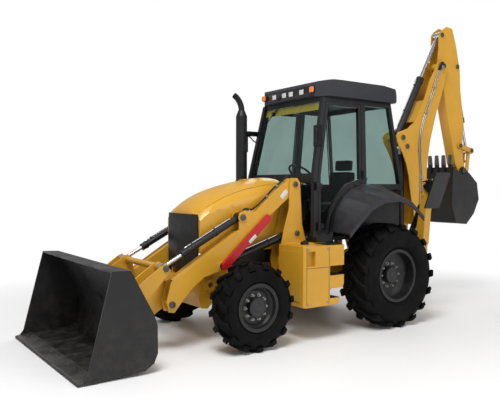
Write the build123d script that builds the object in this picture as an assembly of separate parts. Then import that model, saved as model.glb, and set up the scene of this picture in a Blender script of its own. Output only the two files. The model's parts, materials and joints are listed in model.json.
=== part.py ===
from build123d import *
import math
import os

# Backhoe loader at full size, in millimetres.
# While it is modelled, X is measured forward from the rear axle, Y to the left
# and Z up from the ground. MID_X moves the whole machine back at the end, so
# that the origin is the middle of its length on the ground.

# Overall places
MID_X = 600
RUN = 0.5                  # radial clearance of a pin in its eye
SIDE_GAP = 6               # side clearance of an eye in its fork
SEAT = 0.3                 # clearance of a piece that sits on another

# Wheels
WHEELBASE = 2104
AX = WHEELBASE             # the front axle, which the nose, the arms and the bucket go with
REAR_TYRE_R, REAR_TYRE_W, REAR_TYRE_Y = 646, 460, 876
FRONT_TYRE_R, FRONT_TYRE_W, FRONT_TYRE_Y = 475, 300, 908
REAR_RIM_R, FRONT_RIM_R = 318, 246
REAR_LUG, FRONT_LUG = 34, 26
REAR_LUGS, FRONT_LUGS = 17, 15         # lugs in each of a tyre's two rows
TYRE_SIDES = 24
HUB_R = 105
KINGPIN_Y, KINGPIN_R = 800, 26
AXLE_TUBE_R = 62

# Main frame
RAIL_Y, RAIL_WALL = 290, 24            # middle of a rail's plate
RAIL_TOP, RAIL_LOW = 780, 480
NOSE_HALF, NOSE_LOW = 400, 392
FRAME_REAR_X = -1130
TOWER_Y, TOWER_WALL = 495, 14          # middle of a loader tower
TOWER_HALF = 72

# Loader
ARM_PIVOT = (1262, 1780)
ARM_TIP = (AX + 781, 520)
ARM_Y, ARM_HALF, ARM_WALL = 495, 65, 15
LIFT_BASE, LIFT_EYE = (1235, 1200), (AX + 158, 880)
TILT_BASE, TILT_EYE = (AX - 105, 1406), (AX + 857, 904)
LOADER_PIN_R = 28
LIFT_BARREL_R, LIFT_ROD_R = 40, 25
TILT_BARREL_R, TILT_ROD_R = 37, 22
LIFT_SHOW, TILT_SHOW = 176, 255          # from a barrel's end to its rod's eye, at rest
CROSS_TUBE = (AX + 551, 640)
CROSS_TUBE_R = 58
BUCKET_HALF, BUCKET_WALL = 1060, 16
BUCKET_EDGE = (AX + 1956, 12)

# Backhoe
SWING_X = -1340
SWING_PIN_R = 45
BOOM_FOOT = (-1482, 880)
BOOM_BASE_PIN = (-1240, 1060)          # foot of the boom's cylinder
BOOM_EYE = (-1215, 2350)               # its rod's eye, in the hump
DIPPER_BASE_PIN = (-1125, 2475)        # foot of the dipper's cylinder
DIPPER_PIVOT = (-2035, 3620)
DIPPER_EYE = (-2050, 4105)
BUCKET_BASE_PIN = (-2440, 3660)        # foot of the bucket's cylinder
HOE_PIVOT = (-2590, 2020)
IDLER_PIVOT = (-2512, 2412)
LINK_PIN = (-2804, 2343)
HOE_LINK_PIN = (-2749, 1897)
HOE_PIN_R = 28
BOOM_HALF, BOOM_WALL = 136, 14
DIPPER_HALF, DIPPER_WALL = 80, 12
HOE_BUCKET_HALF, HOE_BUCKET_WALL = 300, 14
BOOM_BARREL_R, BOOM_ROD_R, BOOM_SHOW = 56, 30, 110
DIPPER_BARREL_R, DIPPER_ROD_R, DIPPER_SHOW = 54, 28, 804
BUCKET_BARREL_R, BUCKET_ROD_R, BUCKET_SHOW = 44, 24, 466

# Stabilisers, as (y, z) in the plane across the machine at STAB_X
STAB_X, STAB_HALF = -880, 60
STAB_PIVOT, STAB_FOOT = (600, 700), (814, 1800)
STAB_BASE_PIN, STAB_EYE = (430, 930), (752, 1640)
STAB_PIN_R = 24
STAB_BARREL_R, STAB_ROD_R, STAB_SHOW = 42, 22, 160

# Cab
CAB_LEAN = 4.2                         # degrees that a side leans inwards
CAB_SIDE_Y, CAB_SIDE_Z = 742, 1110     # foot of a side's outer face
CAB_WALL = 55
CAB_FLOOR_Z = 1130
A_LOW, A_MID, A_TOP = (1105, 1150), (1062, 1880), (862, 2850)
C_TOP, C_MID = (-330, 2850), (-490, 1720)
ROOF_LOW, ROOF_TOP = 2850 + SEAT, 3058
ROOF_FRONT, ROOF_REAR, ROOF_HALF = 920, -440, 690
GLASS = 6

# Hood
HOOD_FRONT_X, HOOD_REAR_X = AX + 336, 1205
HOOD_WALL, HOOD_FOOT_Z = 8, 1000
NOSE_PANEL_Z = (810, 1440)             # foot and top of the black panel in front


def xz_face(points):
    """A face in the XZ plane, from its corners as (x, z)."""
    return Plane.XZ * make_face(Polyline(*points, close=True))


def plate(points, y0, y1):
    """A plate of an XZ outline, from y0 to y1."""
    return Pos(0, y0, 0) * extrude(xz_face(points), -(y1 - y0))


def both_plates(points, middle, half, wall):
    """Two like plates, one at each face of a box section."""
    inner = plate(points, middle - half, middle - half + wall)
    return inner + plate(points, middle + half - wall, middle + half)


def y_bar(at, radius, y0, y1):
    """A round bar along Y through the XZ point at."""
    return Pos(at[0], (y0 + y1) / 2, at[1]) * Rot(90, 0, 0) * Cylinder(radius, y1 - y0)


def x_bar(at, radius, x0, x1):
    """A round bar along X through the YZ point at."""
    return Pos((x0 + x1) / 2, at[0], at[1]) * Rot(0, 90, 0) * Cylinder(radius, x1 - x0)


def box(x0, x1, y0, y1, z0, z1):
    """A block between two corners."""
    return Pos((x0 + x1) / 2, (y0 + y1) / 2, (z0 + z1) / 2) * Box(x1 - x0, y1 - y0, z1 - z0)


def toward(a, b, distance):
    """The point at a distance from a on the way to b."""
    length = math.dist(a, b)
    return (a[0] + (b[0] - a[0]) * distance / length, a[1] + (b[1] - a[1]) * distance / length)


def run_bar(a, b, radius, middle):
    """A round bar from XZ point a to b, at Y middle."""
    plane = Plane(origin=(a[0], middle, a[1]), z_dir=(b[0] - a[0], 0, b[1] - a[1]))
    return extrude(plane * Circle(radius), math.dist(a, b))


def sheet_along(points, wall, y0, y1):
    """A bent sheet that follows XZ points, its wall to the left of the way, or to the right if negative."""
    hand = Side.LEFT if wall > 0 else Side.RIGHT
    closed = make_face(offset(Polyline(*points), amount=abs(wall), side=hand, closed=True))
    return Pos(0, y0, 0) * extrude(Plane.XZ * closed, -(y1 - y0))


def mirrored(shape):
    """A shape with its twin on the other side of the machine."""
    return shape + mirror(shape, Plane.XZ)


def barrel(base, eye, show, radius, rod_r, pin_r, middle, eye_half):
    """A cylinder's barrel: base eye, tube bored for the rod, and gland."""
    length = math.dist(base, eye) - show
    start = toward(base, eye, pin_r + 26)
    end = toward(base, eye, length)
    gland = toward(base, eye, length - 70)
    body = run_bar(start, end, radius, middle) + run_bar(gland, end, radius + 5, middle)
    body += y_bar(base, pin_r + 24, middle - eye_half, middle + eye_half)
    body += run_bar(base, toward(base, eye, pin_r + 60), radius * 0.72, middle)
    bore_start = toward(base, eye, pin_r + 62)
    body -= run_bar(bore_start, toward(base, eye, length + 5), rod_r + SEAT, middle)
    return body - y_bar(base, pin_r + RUN, middle - eye_half - 1, middle + eye_half + 1)


def rod(base, eye, inner, radius, eye_r, middle, eye_half):
    """A cylinder's rod, from inner (distance from the base pin) to its eye."""
    body = run_bar(toward(base, eye, inner), eye, radius, middle)
    return body + y_bar(eye, eye_r, middle - eye_half, middle + eye_half)


def hollow_bar(points, middle, half, wall, cover_points):
    """A box section: two side plates and cover sheets between them."""
    body = both_plates(points, middle, half, wall)
    for cover, turn in cover_points:
        body += sheet_along(cover, wall * turn, middle - half + wall / 2, middle + half - wall / 2)
    return body


# Loader outlines
ARM_OUTLINE = [
    (1200, 1815), (1300, 1855), (1529, 1706), (1800, 1462), (AX - 129, 1478), (AX - 69, 1450),
    (AX - 64, 1270), (AX + 784, 754), (AX + 841, 540), (AX + 811, 440), (AX + 746, 430), (AX + 665, 527),
    (AX + 527, 677), (AX + 385, 774), (AX + 206, 820), (AX + 111, 835), (1602, 1426), (1215, 1715),
]
ARM_COVERS = [
    ([(1322, 1828), (1524, 1696), (1796, 1452), (AX - 194, 1460)], -1),
    ([(AX - 54, 1252), (AX + 746, 765)], -1),
    ([(AX + 706, 498), (AX + 673, 536), (AX + 533, 686), (AX + 388, 784), (AX + 292, 808)], -1),
    ([(1856, 1196), (1608, 1434), (1310, 1658)], -1),
]


def loader_arms():
    arm = hollow_bar(ARM_OUTLINE, ARM_Y, ARM_HALF, ARM_WALL, ARM_COVERS)
    low, high = ARM_Y - ARM_HALF, ARM_Y + ARM_HALF
    for pin in (LIFT_EYE, TILT_BASE, ARM_TIP):
        for a, b in ((low - 10, low + 2), (high - 2, high + 10)):
            arm += y_bar(pin, LOADER_PIN_R + 26, a, b)
    arm += y_bar(TILT_BASE, LOADER_PIN_R, low - 18, high + 18)
    arm += y_bar(ARM_TIP, LOADER_PIN_R, low - 62, high + 18)
    arm += y_bar(ARM_PIVOT, LOADER_PIN_R + 34, low, high)
    arm -= y_bar(ARM_PIVOT, LOADER_PIN_R + RUN, low - 1, high + 1)
    cross = y_bar(CROSS_TUBE, CROSS_TUBE_R, 0, low + 2)
    return mirrored(arm + cross)


def safety_strut():
    high = ARM_Y + ARM_HALF
    top, foot = (1640, 1408), (AX + 158, 870)
    rear, front = [(1620, 1372), (AX + 136, 835)], [(1675, 1432), (AX + 186, 902)]
    web = plate([rear[0], front[0], front[1], (AX + 184, 845), rear[1]], high + 44, high + 50)
    for flange, wall in ((rear, 6), (front, -6)):
        web += sheet_along(flange, wall, high + 12, high + 50)
    return web + y_bar(top, 16, high + SEAT, high + 46) + y_bar(foot, 20, high + 10 + SEAT, high + 46)


def lift_barrels():
    return mirrored(barrel(LIFT_BASE, LIFT_EYE, LIFT_SHOW, LIFT_BARREL_R, LIFT_ROD_R,
                           LOADER_PIN_R, ARM_Y, 42))


def lift_rods():
    return mirrored(rod(LIFT_BASE, LIFT_EYE, 130, LIFT_ROD_R, 46, ARM_Y, 42))


def tilt_barrels():
    return mirrored(barrel(TILT_BASE, TILT_EYE, TILT_SHOW, TILT_BARREL_R, TILT_ROD_R,
                           LOADER_PIN_R, ARM_Y, 42))


def tilt_rods():
    return mirrored(rod(TILT_BASE, TILT_EYE, 264, TILT_ROD_R, 44, ARM_Y, 34))


COUPLER_Y0 = ARM_Y - ARM_HALF - 12     # outer face of the coupler's inner ear


BUCKET_BACK = [(AX + 1311, 40), (AX + 1222, 98), (AX + 1184, 186), (AX + 1186, 450), (AX + 1222, 556)]
BUCKET_CHEEK = [(BUCKET_EDGE[0] - 40, BUCKET_EDGE[1] + 4), *BUCKET_BACK, (AX + 1452, 982), (AX + 1633, 985),
                (AX + 1862, 88)]


def coupler():
    ear = [(AX + 724, 545), (AX + 758, 470), (AX + 826, 452), (AX + 1186, 232), (AX + 1218, 300),
           (AX + 1248, 540), (AX + 1256, 700), (AX + 916, 938), (AX + 846, 960), (AX + 804, 930),
           (AX + 796, 860)]
    window = [(AX + 946, 720), (AX + 1016, 650), (AX + 1016, 790)]
    side = plate(ear, COUPLER_Y0 - 34, COUPLER_Y0 - 12) - plate(window, COUPLER_Y0 - 40, COUPLER_Y0)
    side += y_bar(ARM_TIP, LOADER_PIN_R + 32, COUPLER_Y0 - 46, COUPLER_Y0 - 2)
    side -= y_bar(ARM_TIP, LOADER_PIN_R + RUN, COUPLER_Y0 - 60, COUPLER_Y0 + 2)
    outer_y = ARM_Y + ARM_HALF + SIDE_GAP
    cheek = [(AX + 801, 880), (AX + 846, 955), (AX + 906, 930), (AX + 1248, 690), (AX + 1248, 480),
             (AX + 1136, 520), (AX + 886, 780)]
    side += plate(cheek, outer_y, outer_y + 16)
    side += y_bar(TILT_EYE, LOADER_PIN_R + 20, COUPLER_Y0 - 40, ARM_Y - 42)
    side += y_bar(TILT_EYE, LOADER_PIN_R + 4, ARM_Y + 42, outer_y + 24)
    side += box(AX + 1234, AX + 1248, COUPLER_Y0 - 34, outer_y + 16, 500, 680)
    cross = y_bar(TILT_EYE, 36, 0, COUPLER_Y0 - 30)
    low_cross = box(AX + 1158, AX + 1196, 0, COUPLER_Y0 - 20, 250, 330)
    return mirrored(side + cross + low_cross) - plate(BUCKET_CHEEK, -BUCKET_HALF, BUCKET_HALF)


def loader_bucket():
    edge_x, edge_z = BUCKET_EDGE
    inside = [(edge_x - 60, edge_z + 18), (AX + 1316, 62), (AX + 1236, 110), (AX + 1205, 190),
              (AX + 1208, 446), (AX + 1241, 545), (AX + 1473, 965), (AX + 1633, 972)]
    back = [(edge_x - 60, edge_z), *BUCKET_BACK, (AX + 1452, 982), (AX + 1636, 990)]
    shell = plate(back + inside[::-1], -BUCKET_HALF, BUCKET_HALF)
    shell += mirrored(plate(BUCKET_CHEEK, BUCKET_HALF - BUCKET_WALL, BUCKET_HALF))
    shell += plate([(edge_x, edge_z), (edge_x - 5, edge_z + 12), (edge_x - 190, edge_z + 34),
                    (edge_x - 190, edge_z + 6)], -BUCKET_HALF - 4, BUCKET_HALF + 4)
    return shell


def tyre_ring(radius, y):
    """A regular polygon about the axle, at y from the tyre's middle."""
    return Plane(origin=(0, y, 0), x_dir=(1, 0, 0), z_dir=(0, 1, 0)) * RegularPolygon(radius, TYRE_SIDES)


def tyre_lug(radius, width, lug, count, side, turn):
    """One slanted bar of a traction tread, from the middle to the shoulder."""
    foot, low = math.pi * radius / count * 0.29, radius - lug - 14
    section = [(-foot, low), (foot, low), (foot * 0.72, radius), (-foot * 0.72, radius)]
    ends = []
    # columns: y as a share of the half width, shift along the tread, fall
    for share, shift, fall in ((-0.08, -0.17 * width, 0), (0.90, 0.17 * width, lug * 0.5)):
        corners = [(x + shift, side * share * width / 2, z - fall) for x, z in section]
        ends.append(make_face(Polyline(*corners, close=True)))
    return Rot(0, turn, 0) * loft(ends, ruled=True)


def tyre(radius, width, middle_y, rim_r, lug, count, x):
    """A tyre: a many-sided carcass with two staggered rows of lugs fused to it."""
    half = width / 2
    tread = radius - lug
    bead = rim_r / math.cos(math.pi / TYRE_SIDES) + SEAT
    # columns: height up the wall as a share, half width as a share
    wall = [(bead + up * (tread - bead), share * half)
            for up, share in ((0, 0.66), (0.14, 0.88), (0.62, 1.0), (0.88, 0.92), (1, 0.74))]
    rings = [tyre_ring(r, -y) for r, y in wall] + [tyre_ring(r, y) for r, y in wall[::-1]]
    carcass = loft(rings, ruled=True) - Pos(0, -width, 0) * extrude(tyre_ring(bead, 0), 2 * width)
    bars = [tyre_lug(radius, width, lug, count, side, 360 / count * (k + (0.25 if side > 0 else 0.75)))
            for side in (1, -1) for k in range(count)]
    return Pos(x, middle_y, radius) * (carcass + bars)


def rim(radius, width, middle_y, x, tyre_r, offset):
    """A rim: barrel with two flanges, a dished disc and its hub."""
    half = width / 2
    outline = [
        (radius + 12, half * 0.76 + 10), (radius + 12, half * 0.76), (radius - SEAT, half * 0.76),
        (radius - SEAT, -half * 0.76), (radius + 12, -half * 0.76), (radius + 12, -half * 0.76 - 10),
        (radius - 26, -half * 0.76 - 10), (radius - 34, -half * 0.3), (radius - 34, offset - 14),
        (HUB_R + 80, offset - 44), (HUB_R - 50, offset - 44), (HUB_R - 50, offset - 26),
        (HUB_R + 70, offset - 26), (radius - 40, offset + 8), (radius - 34, offset + 8),
        (radius - 26, half * 0.76 + 10),
    ]
    ring = revolve(Plane.XY * make_face(Polyline(*outline, close=True)), Axis.Y, 360)
    return Pos(x, middle_y, tyre_r) * ring


def wheel_tyre(name, side):
    if name == "rear":
        body = tyre(REAR_TYRE_R, REAR_TYRE_W, REAR_TYRE_Y, REAR_RIM_R, REAR_LUG, REAR_LUGS, 0)
    else:
        body = tyre(FRONT_TYRE_R, FRONT_TYRE_W, FRONT_TYRE_Y, FRONT_RIM_R, FRONT_LUG, FRONT_LUGS, AX)
    return body if side > 0 else mirror(body, Plane.XZ)


def wheel_rim(name, side):
    if name == "rear":
        body = rim(REAR_RIM_R, REAR_TYRE_W, REAR_TYRE_Y, 0, REAR_TYRE_R, 60)
        body += y_bar((0, REAR_TYRE_R), HUB_R, REAR_TYRE_Y - 120, REAR_TYRE_Y + 52)
        body -= y_bar((0, REAR_TYRE_R), AXLE_TUBE_R - 20 + RUN, REAR_TYRE_Y - 130, REAR_TYRE_Y - 40)
    else:
        body = rim(FRONT_RIM_R, FRONT_TYRE_W, FRONT_TYRE_Y, WHEELBASE, FRONT_TYRE_R, 80)
        body += y_bar((WHEELBASE, FRONT_TYRE_R), HUB_R, FRONT_TYRE_Y - 20, FRONT_TYRE_Y + 107)
        body -= y_bar((WHEELBASE, FRONT_TYRE_R), 40 + RUN, FRONT_TYRE_Y - 30, FRONT_TYRE_Y + 50)
    return body if side > 0 else mirror(body, Plane.XZ)


def front_axle():
    z = FRONT_TYRE_R
    beam = plate([(WHEELBASE - 70, z - 60), (WHEELBASE + 70, z - 60), (WHEELBASE + 60, z + 75),
                  (WHEELBASE - 60, z + 75)], -KINGPIN_Y + 130, KINGPIN_Y - 130)
    beam += x_bar((0, z), 100, WHEELBASE - 100, WHEELBASE + 100)
    beam -= x_bar((0, z), 36 + RUN, WHEELBASE - 101, WHEELBASE + 101)
    end = box(WHEELBASE - 50, WHEELBASE + 50, KINGPIN_Y - 135, KINGPIN_Y + 42, z + 88, z + 128)
    end += box(WHEELBASE - 50, WHEELBASE + 50, KINGPIN_Y - 135, KINGPIN_Y + 42, z - 128, z - 88)
    end += box(WHEELBASE - 50, WHEELBASE + 50, KINGPIN_Y - 135, KINGPIN_Y - 90, z - 128, z + 128)
    for low, high in ((z + 70, z + 128), (z - 128, z - 70)):
        end += Pos(WHEELBASE, KINGPIN_Y, (low + high) / 2) * Cylinder(KINGPIN_R, high - low)
    beam += mirrored(end)
    return beam


def knuckle(side):
    z = FRONT_TYRE_R
    body = box(WHEELBASE - 62, WHEELBASE + 62, KINGPIN_Y - 45, KINGPIN_Y + 70, z - 82, z + 82)
    body += y_bar((WHEELBASE, z), 40, KINGPIN_Y + 60, FRONT_TYRE_Y + 40)
    body += box(WHEELBASE - 190, WHEELBASE - 50, KINGPIN_Y - 38, KINGPIN_Y - 8, z - 20, z + 15)
    for low, high in ((z + 69, z + 84), (z - 84, z - 69)):
        body -= Pos(WHEELBASE, KINGPIN_Y, (low + high) / 2) * Cylinder(KINGPIN_R + RUN, high - low)
    return body if side > 0 else mirror(body, Plane.XZ)


def rear_axle():
    z = REAR_TYRE_R
    body = y_bar((0, z), 108, -REAR_TYRE_Y + 150, REAR_TYRE_Y - 150)
    body += y_bar((0, z), 190, -180, 180)
    body += y_bar((0, z), AXLE_TUBE_R - 20, -REAR_TYRE_Y + 45, REAR_TYRE_Y - 45)
    return body


RAIL_OUTLINE = [
    (FRAME_REAR_X, 440), (-700, 440), (-300, RAIL_LOW), (1500, RAIL_LOW), (AX - 344, 560), (AX - 104, 610),
    (AX + 196, 610), (AX + 236, NOSE_LOW + 40), (AX + 330, NOSE_LOW + 40), (AX + 330, 800),
    (AX - 104, RAIL_TOP + 60), (-300, RAIL_TOP + 40), (FRAME_REAR_X, 1000),
]
NOSE_OUTLINE = [
    (AX + 146, 700), (AX + 150, 560), (AX + 186, 450), (AX + 250, NOSE_LOW), (AX + 318, NOSE_LOW + 8),
    (AX + 352, 450), (AX + 366, 540), (AX + 360, 660), (AX + 336, 730), (AX + 190, 740),
]
TOWER_OUTLINE = [
    (1060, 560), (1420, 560), (1500, 900), (1420, 1250), (1345, 1500), (1335, 1800), (1300, 1852),
    (1225, 1852), (1185, 1800), (1150, 1300), (1060, 1000),
]


CAB_MOUNTS_X = (750, -250)
TIE_DOWN, TIE_DOWN_BOSS, TIE_DOWN_HOLE = (AX + 248, 664), 62, 30   # in the nose
REAR_TIE_DOWN, TIE_DOWN_R = (510, 478), 22
TANK_Y = (TOWER_Y + TOWER_HALF + TOWER_WALL, 1050)    # inner and outer face of a step box


def main_frame():
    rail = plate(RAIL_OUTLINE, RAIL_Y - RAIL_WALL / 2, RAIL_Y + RAIL_WALL / 2)
    rail -= y_bar((0, REAR_TYRE_R), 108 + SEAT, RAIL_Y - 40, RAIL_Y + 40)
    low, high = TOWER_Y - TOWER_HALF, TOWER_Y + TOWER_HALF
    rail += plate(TOWER_OUTLINE, low - TOWER_WALL, low) + plate(TOWER_OUTLINE, high, high + TOWER_WALL)
    rail += box(1075, 1089, low - 1, high + 1, 565, 1000)
    rail += box(1100, 1420, RAIL_Y, low, 570, 760)
    rail += box(1100, 1420, low - 1, high + 1, 565, 585)
    for pin in (ARM_PIVOT, LIFT_BASE):
        rail += y_bar(pin, LOADER_PIN_R, low - TOWER_WALL, high + TOWER_WALL + 14)
    for a, b in ((low, ARM_Y - 42 - SIDE_GAP), (ARM_Y + 42 + SIDE_GAP, high)):
        rail += y_bar(LIFT_BASE, LOADER_PIN_R + 22, a, b)
    for x in CAB_MOUNTS_X:
        rail += box(x - 50, x + 50, RAIL_Y - 34, RAIL_Y + 34, 800, CAB_FLOOR_Z - 40 - SEAT)
    frame = mirrored(rail)
    frame += plate(NOSE_OUTLINE, -NOSE_HALF, NOSE_HALF)
    boss = y_bar(TIE_DOWN, TIE_DOWN_BOSS, NOSE_HALF - 1, NOSE_HALF + 60)
    frame += mirrored(boss)
    frame -= mirrored(y_bar(TIE_DOWN, TIE_DOWN_HOLE, NOSE_HALF - 60, NOSE_HALF + 61))
    for x0, x1, z0, z1 in ((1600, 1680, 600, 760), (700, 780, 500, 600),
                           (-1130, -1105, 480, 980), (-420, -330, 500, 760)):
        frame += box(x0, x1, -RAIL_Y, RAIL_Y, z0, z1)
    for x0, x1 in ((WHEELBASE - 140, WHEELBASE - 101), (WHEELBASE + 101, WHEELBASE + 140)):
        frame += box(x0, x1, -RAIL_Y, RAIL_Y, FRONT_TYRE_R + 140, RAIL_TOP)
        frame += box(x0, x1, -110, 110, FRONT_TYRE_R - 90, FRONT_TYRE_R + 141)
    frame += x_bar((0, FRONT_TYRE_R), 36, WHEELBASE - 130, WHEELBASE + 130)
    return frame


def engine_block():
    block = box(1420, AX - 64, -210, 210, 800, 1340)
    for x in (1500, AX - 204):
        block += box(x - 30, x + 30, -RAIL_Y + RAIL_WALL / 2, RAIL_Y - RAIL_WALL / 2, 770, 802)
    transmission = box(500, 1400, -190, 190, 620, 1040)
    shaft = x_bar((0, REAR_TYRE_R), 40, 190, 505)
    return block + transmission + shaft + box(1390, 1430, -150, 150, 820, 1020)


STEP_FLOORS, STEP_X, STEP_HIGH = (478, 738), (905, 1120), 110
TANK_TOP, TANK_LOW, TANK_FRONT = 1085, 400, AX - 604


def step_boxes():
    """Tank and battery box beside the towers, each with two steps let into its rear part."""
    inner, outer = TANK_Y
    rear = STEP_X[0]
    side = [(rear, TANK_TOP), (TANK_FRONT, TANK_TOP), (TANK_FRONT, TANK_LOW), (rear + 95, TANK_LOW),
            (rear, 640)]
    plan = [(rear, inner), (TANK_FRONT, inner), (TANK_FRONT, outer - 26), (TANK_FRONT - 26, outer),
            (rear, outer)]
    body = plate(side, inner, outer) & extrude(make_face(Polyline(*plan, close=True)), TANK_TOP + 1)
    for z in STEP_FLOORS:
        body -= box(rear - 1, STEP_X[1], 800, outer + 5, z, z + STEP_HIGH)
    lid = box(TANK_FRONT - 200, TANK_FRONT - 20, inner + 40, outer - 60, TANK_TOP - 1, TANK_TOP + 14)
    door = box(TANK_FRONT - 1, TANK_FRONT + 8, inner + 60, outer - 70, TANK_LOW + 60, TANK_TOP - 60)
    pocket = box(TANK_FRONT - 160, TANK_FRONT - 40, outer - 50, outer + 5, 860, 1025)
    return body + lid + door - pocket + mirror(body + door, Plane.XZ)


def fenders():
    """Mudguards: a crowned sheet over each rear wheel and its inner cheek."""
    outer = [(865, 1215), (673, 1390), (500, 1530), (290, 1612), (23, 1627), (-199, 1560), (-430, 1375)]
    inner = [(800, 1225), (728, 1469), (613, 1626), (462, 1730), (273, 1784), (4, 1778), (-330, 1650)]

    def band(points, y):
        thick = 22
        lower = [(x, z - thick) for x, z in points]
        return Pos(0, y, 0) * xz_face(points + lower[::-1])

    sheet = loft([band(inner, 612), band(inner, 740), band(outer, 1110)], ruled=True)
    edge = [(x, z - 8) for x, z in outer]
    lip = plate(edge + [(x, z - 58) for x, z in outer[::-1]], 1094, 1110)
    return mirrored(sheet + lip) - cab_frame()


def side_plane_y(z):
    """Outer face of the cab's side at a height."""
    return CAB_SIDE_Y - (z - CAB_SIDE_Z) * math.tan(math.radians(CAB_LEAN))


def leaning(points, wall, inset=0):
    """A plate of the cab's left side, standing in its leaning plane."""
    flat = plate(points, CAB_SIDE_Y - inset - wall, CAB_SIDE_Y - inset)
    return flat.rotate(LEAN_AXIS, CAB_LEAN)


LEAN_AXIS = Axis((0, CAB_SIDE_Y, CAB_SIDE_Z), (1, 0, 0))
DOOR_AXIS = (1031, CAB_SIDE_Y + 24)    # line of a door's two hinges, before it leans
HINGES_Z = (1280, 1760)
HOOD_AXIS = (1225, 1790)
SIDE_OUTLINE = [A_LOW, A_MID, A_TOP, C_TOP, C_MID, (300, 1720), (560, 1640), (740, 1420), (800, 1150)]
DOOR_OUTLINE = [(1035, 1180), (1000, 1880), (815, 2800), (225, 2800), (262, 1800), (500, 1730), (700, 1560),
                (790, 1400), (850, 1180)]
DOOR_INSIDE = [(985, 1235), (950, 1880), (775, 2750), (272, 2750), (310, 1850), (535, 1785), (745, 1600),
               (850, 1415), (905, 1235)]
QUARTER_WINDOW = [(150, 2790), (-285, 2790), (-430, 1790), (185, 1790)]


def cab_frame():
    side = leaning(SIDE_OUTLINE, CAB_WALL) - leaning(DOOR_OUTLINE, CAB_WALL + 20, -10)
    side -= leaning(QUARTER_WINDOW, CAB_WALL + 20, -10)
    frame = mirrored(side)
    top_y, low_y = side_plane_y(2850) - 10, side_plane_y(1880) - 20
    frame += box(790, 850, -top_y, top_y, 2790, 2850)
    frame += box(-330, -270, -top_y, top_y, 2790, 2850)
    frame += box(985, 1045, -low_y, low_y, 1800, 1880)
    frame += box(-480, -420, -low_y, low_y, 1700, 1790)
    frame += box(-520, 1050, -610, 610, CAB_FLOOR_Z - 40, CAB_FLOOR_Z)
    frame += box(-520, -480, -610, 610, CAB_FLOOR_Z - 40, 1760)
    frame += box(1010, 1050, -400, 400, CAB_FLOOR_Z - 40, 1840)
    for s in (1, -1):
        frame += box(-520, 420, min(s * 570, s * 610), max(s * 570, s * 610), CAB_FLOOR_Z - 40, 1760)
        frame += box(-500, 300, min(s * 580, s * 690), max(s * 580, s * 690), 1720, 1760)
        frame += box(800, 1050, min(s * 560, s * 725), max(s * 560, s * 725), CAB_FLOOR_Z - 40, 1170)
    frame -= mirrored(leaning(DOOR_OUTLINE, CAB_WALL + 100, -10))
    hinge = None
    for z in HINGES_Z:
        post = Pos(DOOR_AXIS[0], DOOR_AXIS[1], z) * Cylinder(8, 100)
        for end in (z - 40, z + 40):
            post += Pos(DOOR_AXIS[0], DOOR_AXIS[1], end) * Cylinder(16, 20)
            post += box(DOOR_AXIS[0] + 3, DOOR_AXIS[0] + 24, CAB_SIDE_Y - 4, DOOR_AXIS[1], end - 10, end + 10)
        hinge = post if hinge is None else hinge + post
    frame += mirrored(hinge.rotate(LEAN_AXIS, CAB_LEAN))
    lug = [(1049, 1750), (1215, 1776), (1238, 1790), (1225, 1803), (1208, 1800), (1170, 1784), (1049, 1776)]
    frame += mirrored(plate(lug, 40, 54))
    frame += y_bar(HOOD_AXIS, 9, -76, 76)
    return frame


def cab_roof():
    """Roof: its side outline carried across, with the front corners cut back."""
    front, rear, half = ROOF_FRONT, ROOF_REAR, ROOF_HALF
    outline = [(front, ROOF_LOW + 14), (front, 2992), (front - 40, 3038), (front - 190, ROOF_TOP),
               (-120, ROOF_TOP), (-380, 3026), (rear, 2960), (rear, 2880), (rear + 70, ROOF_LOW),
               (front - 16, ROOF_LOW)]
    left = [(front, 500), (front - 120, half - 25), (front - 320, half), (-330, half), (rear, half - 70)]
    plan = make_face(Polyline(*left, *[(x, -y) for x, y in left[::-1]], close=True))
    roof = plate(outline, -half, half) & Pos(0, 0, ROOF_LOW - 5) * extrude(plan, 300)
    return roof - box(front - 8, front + 1, -450, 450, ROOF_LOW + 34, 2984)


def leaning_glass(points):
    return leaning(points, GLASS, (CAB_WALL - GLASS) / 2)


def cab_glass():
    quarter = leaning_glass(QUARTER_WINDOW)
    glass = mirrored(quarter)
    low_y, high_y = side_plane_y(1880) - CAB_WALL - 3, side_plane_y(2790) - CAB_WALL - 3
    for low_x, high_x, low_z in ((1020, 826, 1880 + SEAT), (-450, -300, 1790 + SEAT)):
        corners = [(low_x, -low_y, low_z), (low_x, low_y, low_z), (high_x, high_y, 2790 - SEAT),
                   (high_x, -high_y, 2790 - SEAT)]
        pane = make_face(Polyline(*corners, close=True))
        glass += extrude(pane, GLASS, dir=(1, 0, 0))
    return glass - cab_frame()


def door(side):
    body = leaning(DOOR_OUTLINE_CLEAR, CAB_WALL - 10, 0) - leaning(DOOR_INSIDE, CAB_WALL + 20, -10)
    for z in HINGES_Z:
        leaf = Pos(DOOR_AXIS[0], DOOR_AXIS[1], z) * Cylinder(16, 58)
        leaf += box(950, DOOR_AXIS[0], CAB_SIDE_Y + 10, DOOR_AXIS[1], z - 29, z + 29)
        leaf += box(950, 985, CAB_SIDE_Y - 4, DOOR_AXIS[1], z - 29, z + 29)
        leaf -= Pos(DOOR_AXIS[0], DOOR_AXIS[1], z) * Cylinder(8 + RUN, 60)
        body += leaf.rotate(LEAN_AXIS, CAB_LEAN)
    return body if side > 0 else mirror(body, Plane.XZ)


def door_glass(side):
    body = leaning_glass(DOOR_INSIDE)
    return body if side > 0 else mirror(body, Plane.XZ)


DOOR_OUTLINE_CLEAR = [(1027, 1186), (993, 1880), (809, 2794), (231, 2794), (268, 1806), (503, 1737),
                      (706, 1565), (812, 1402), (872, 1186)]


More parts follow.
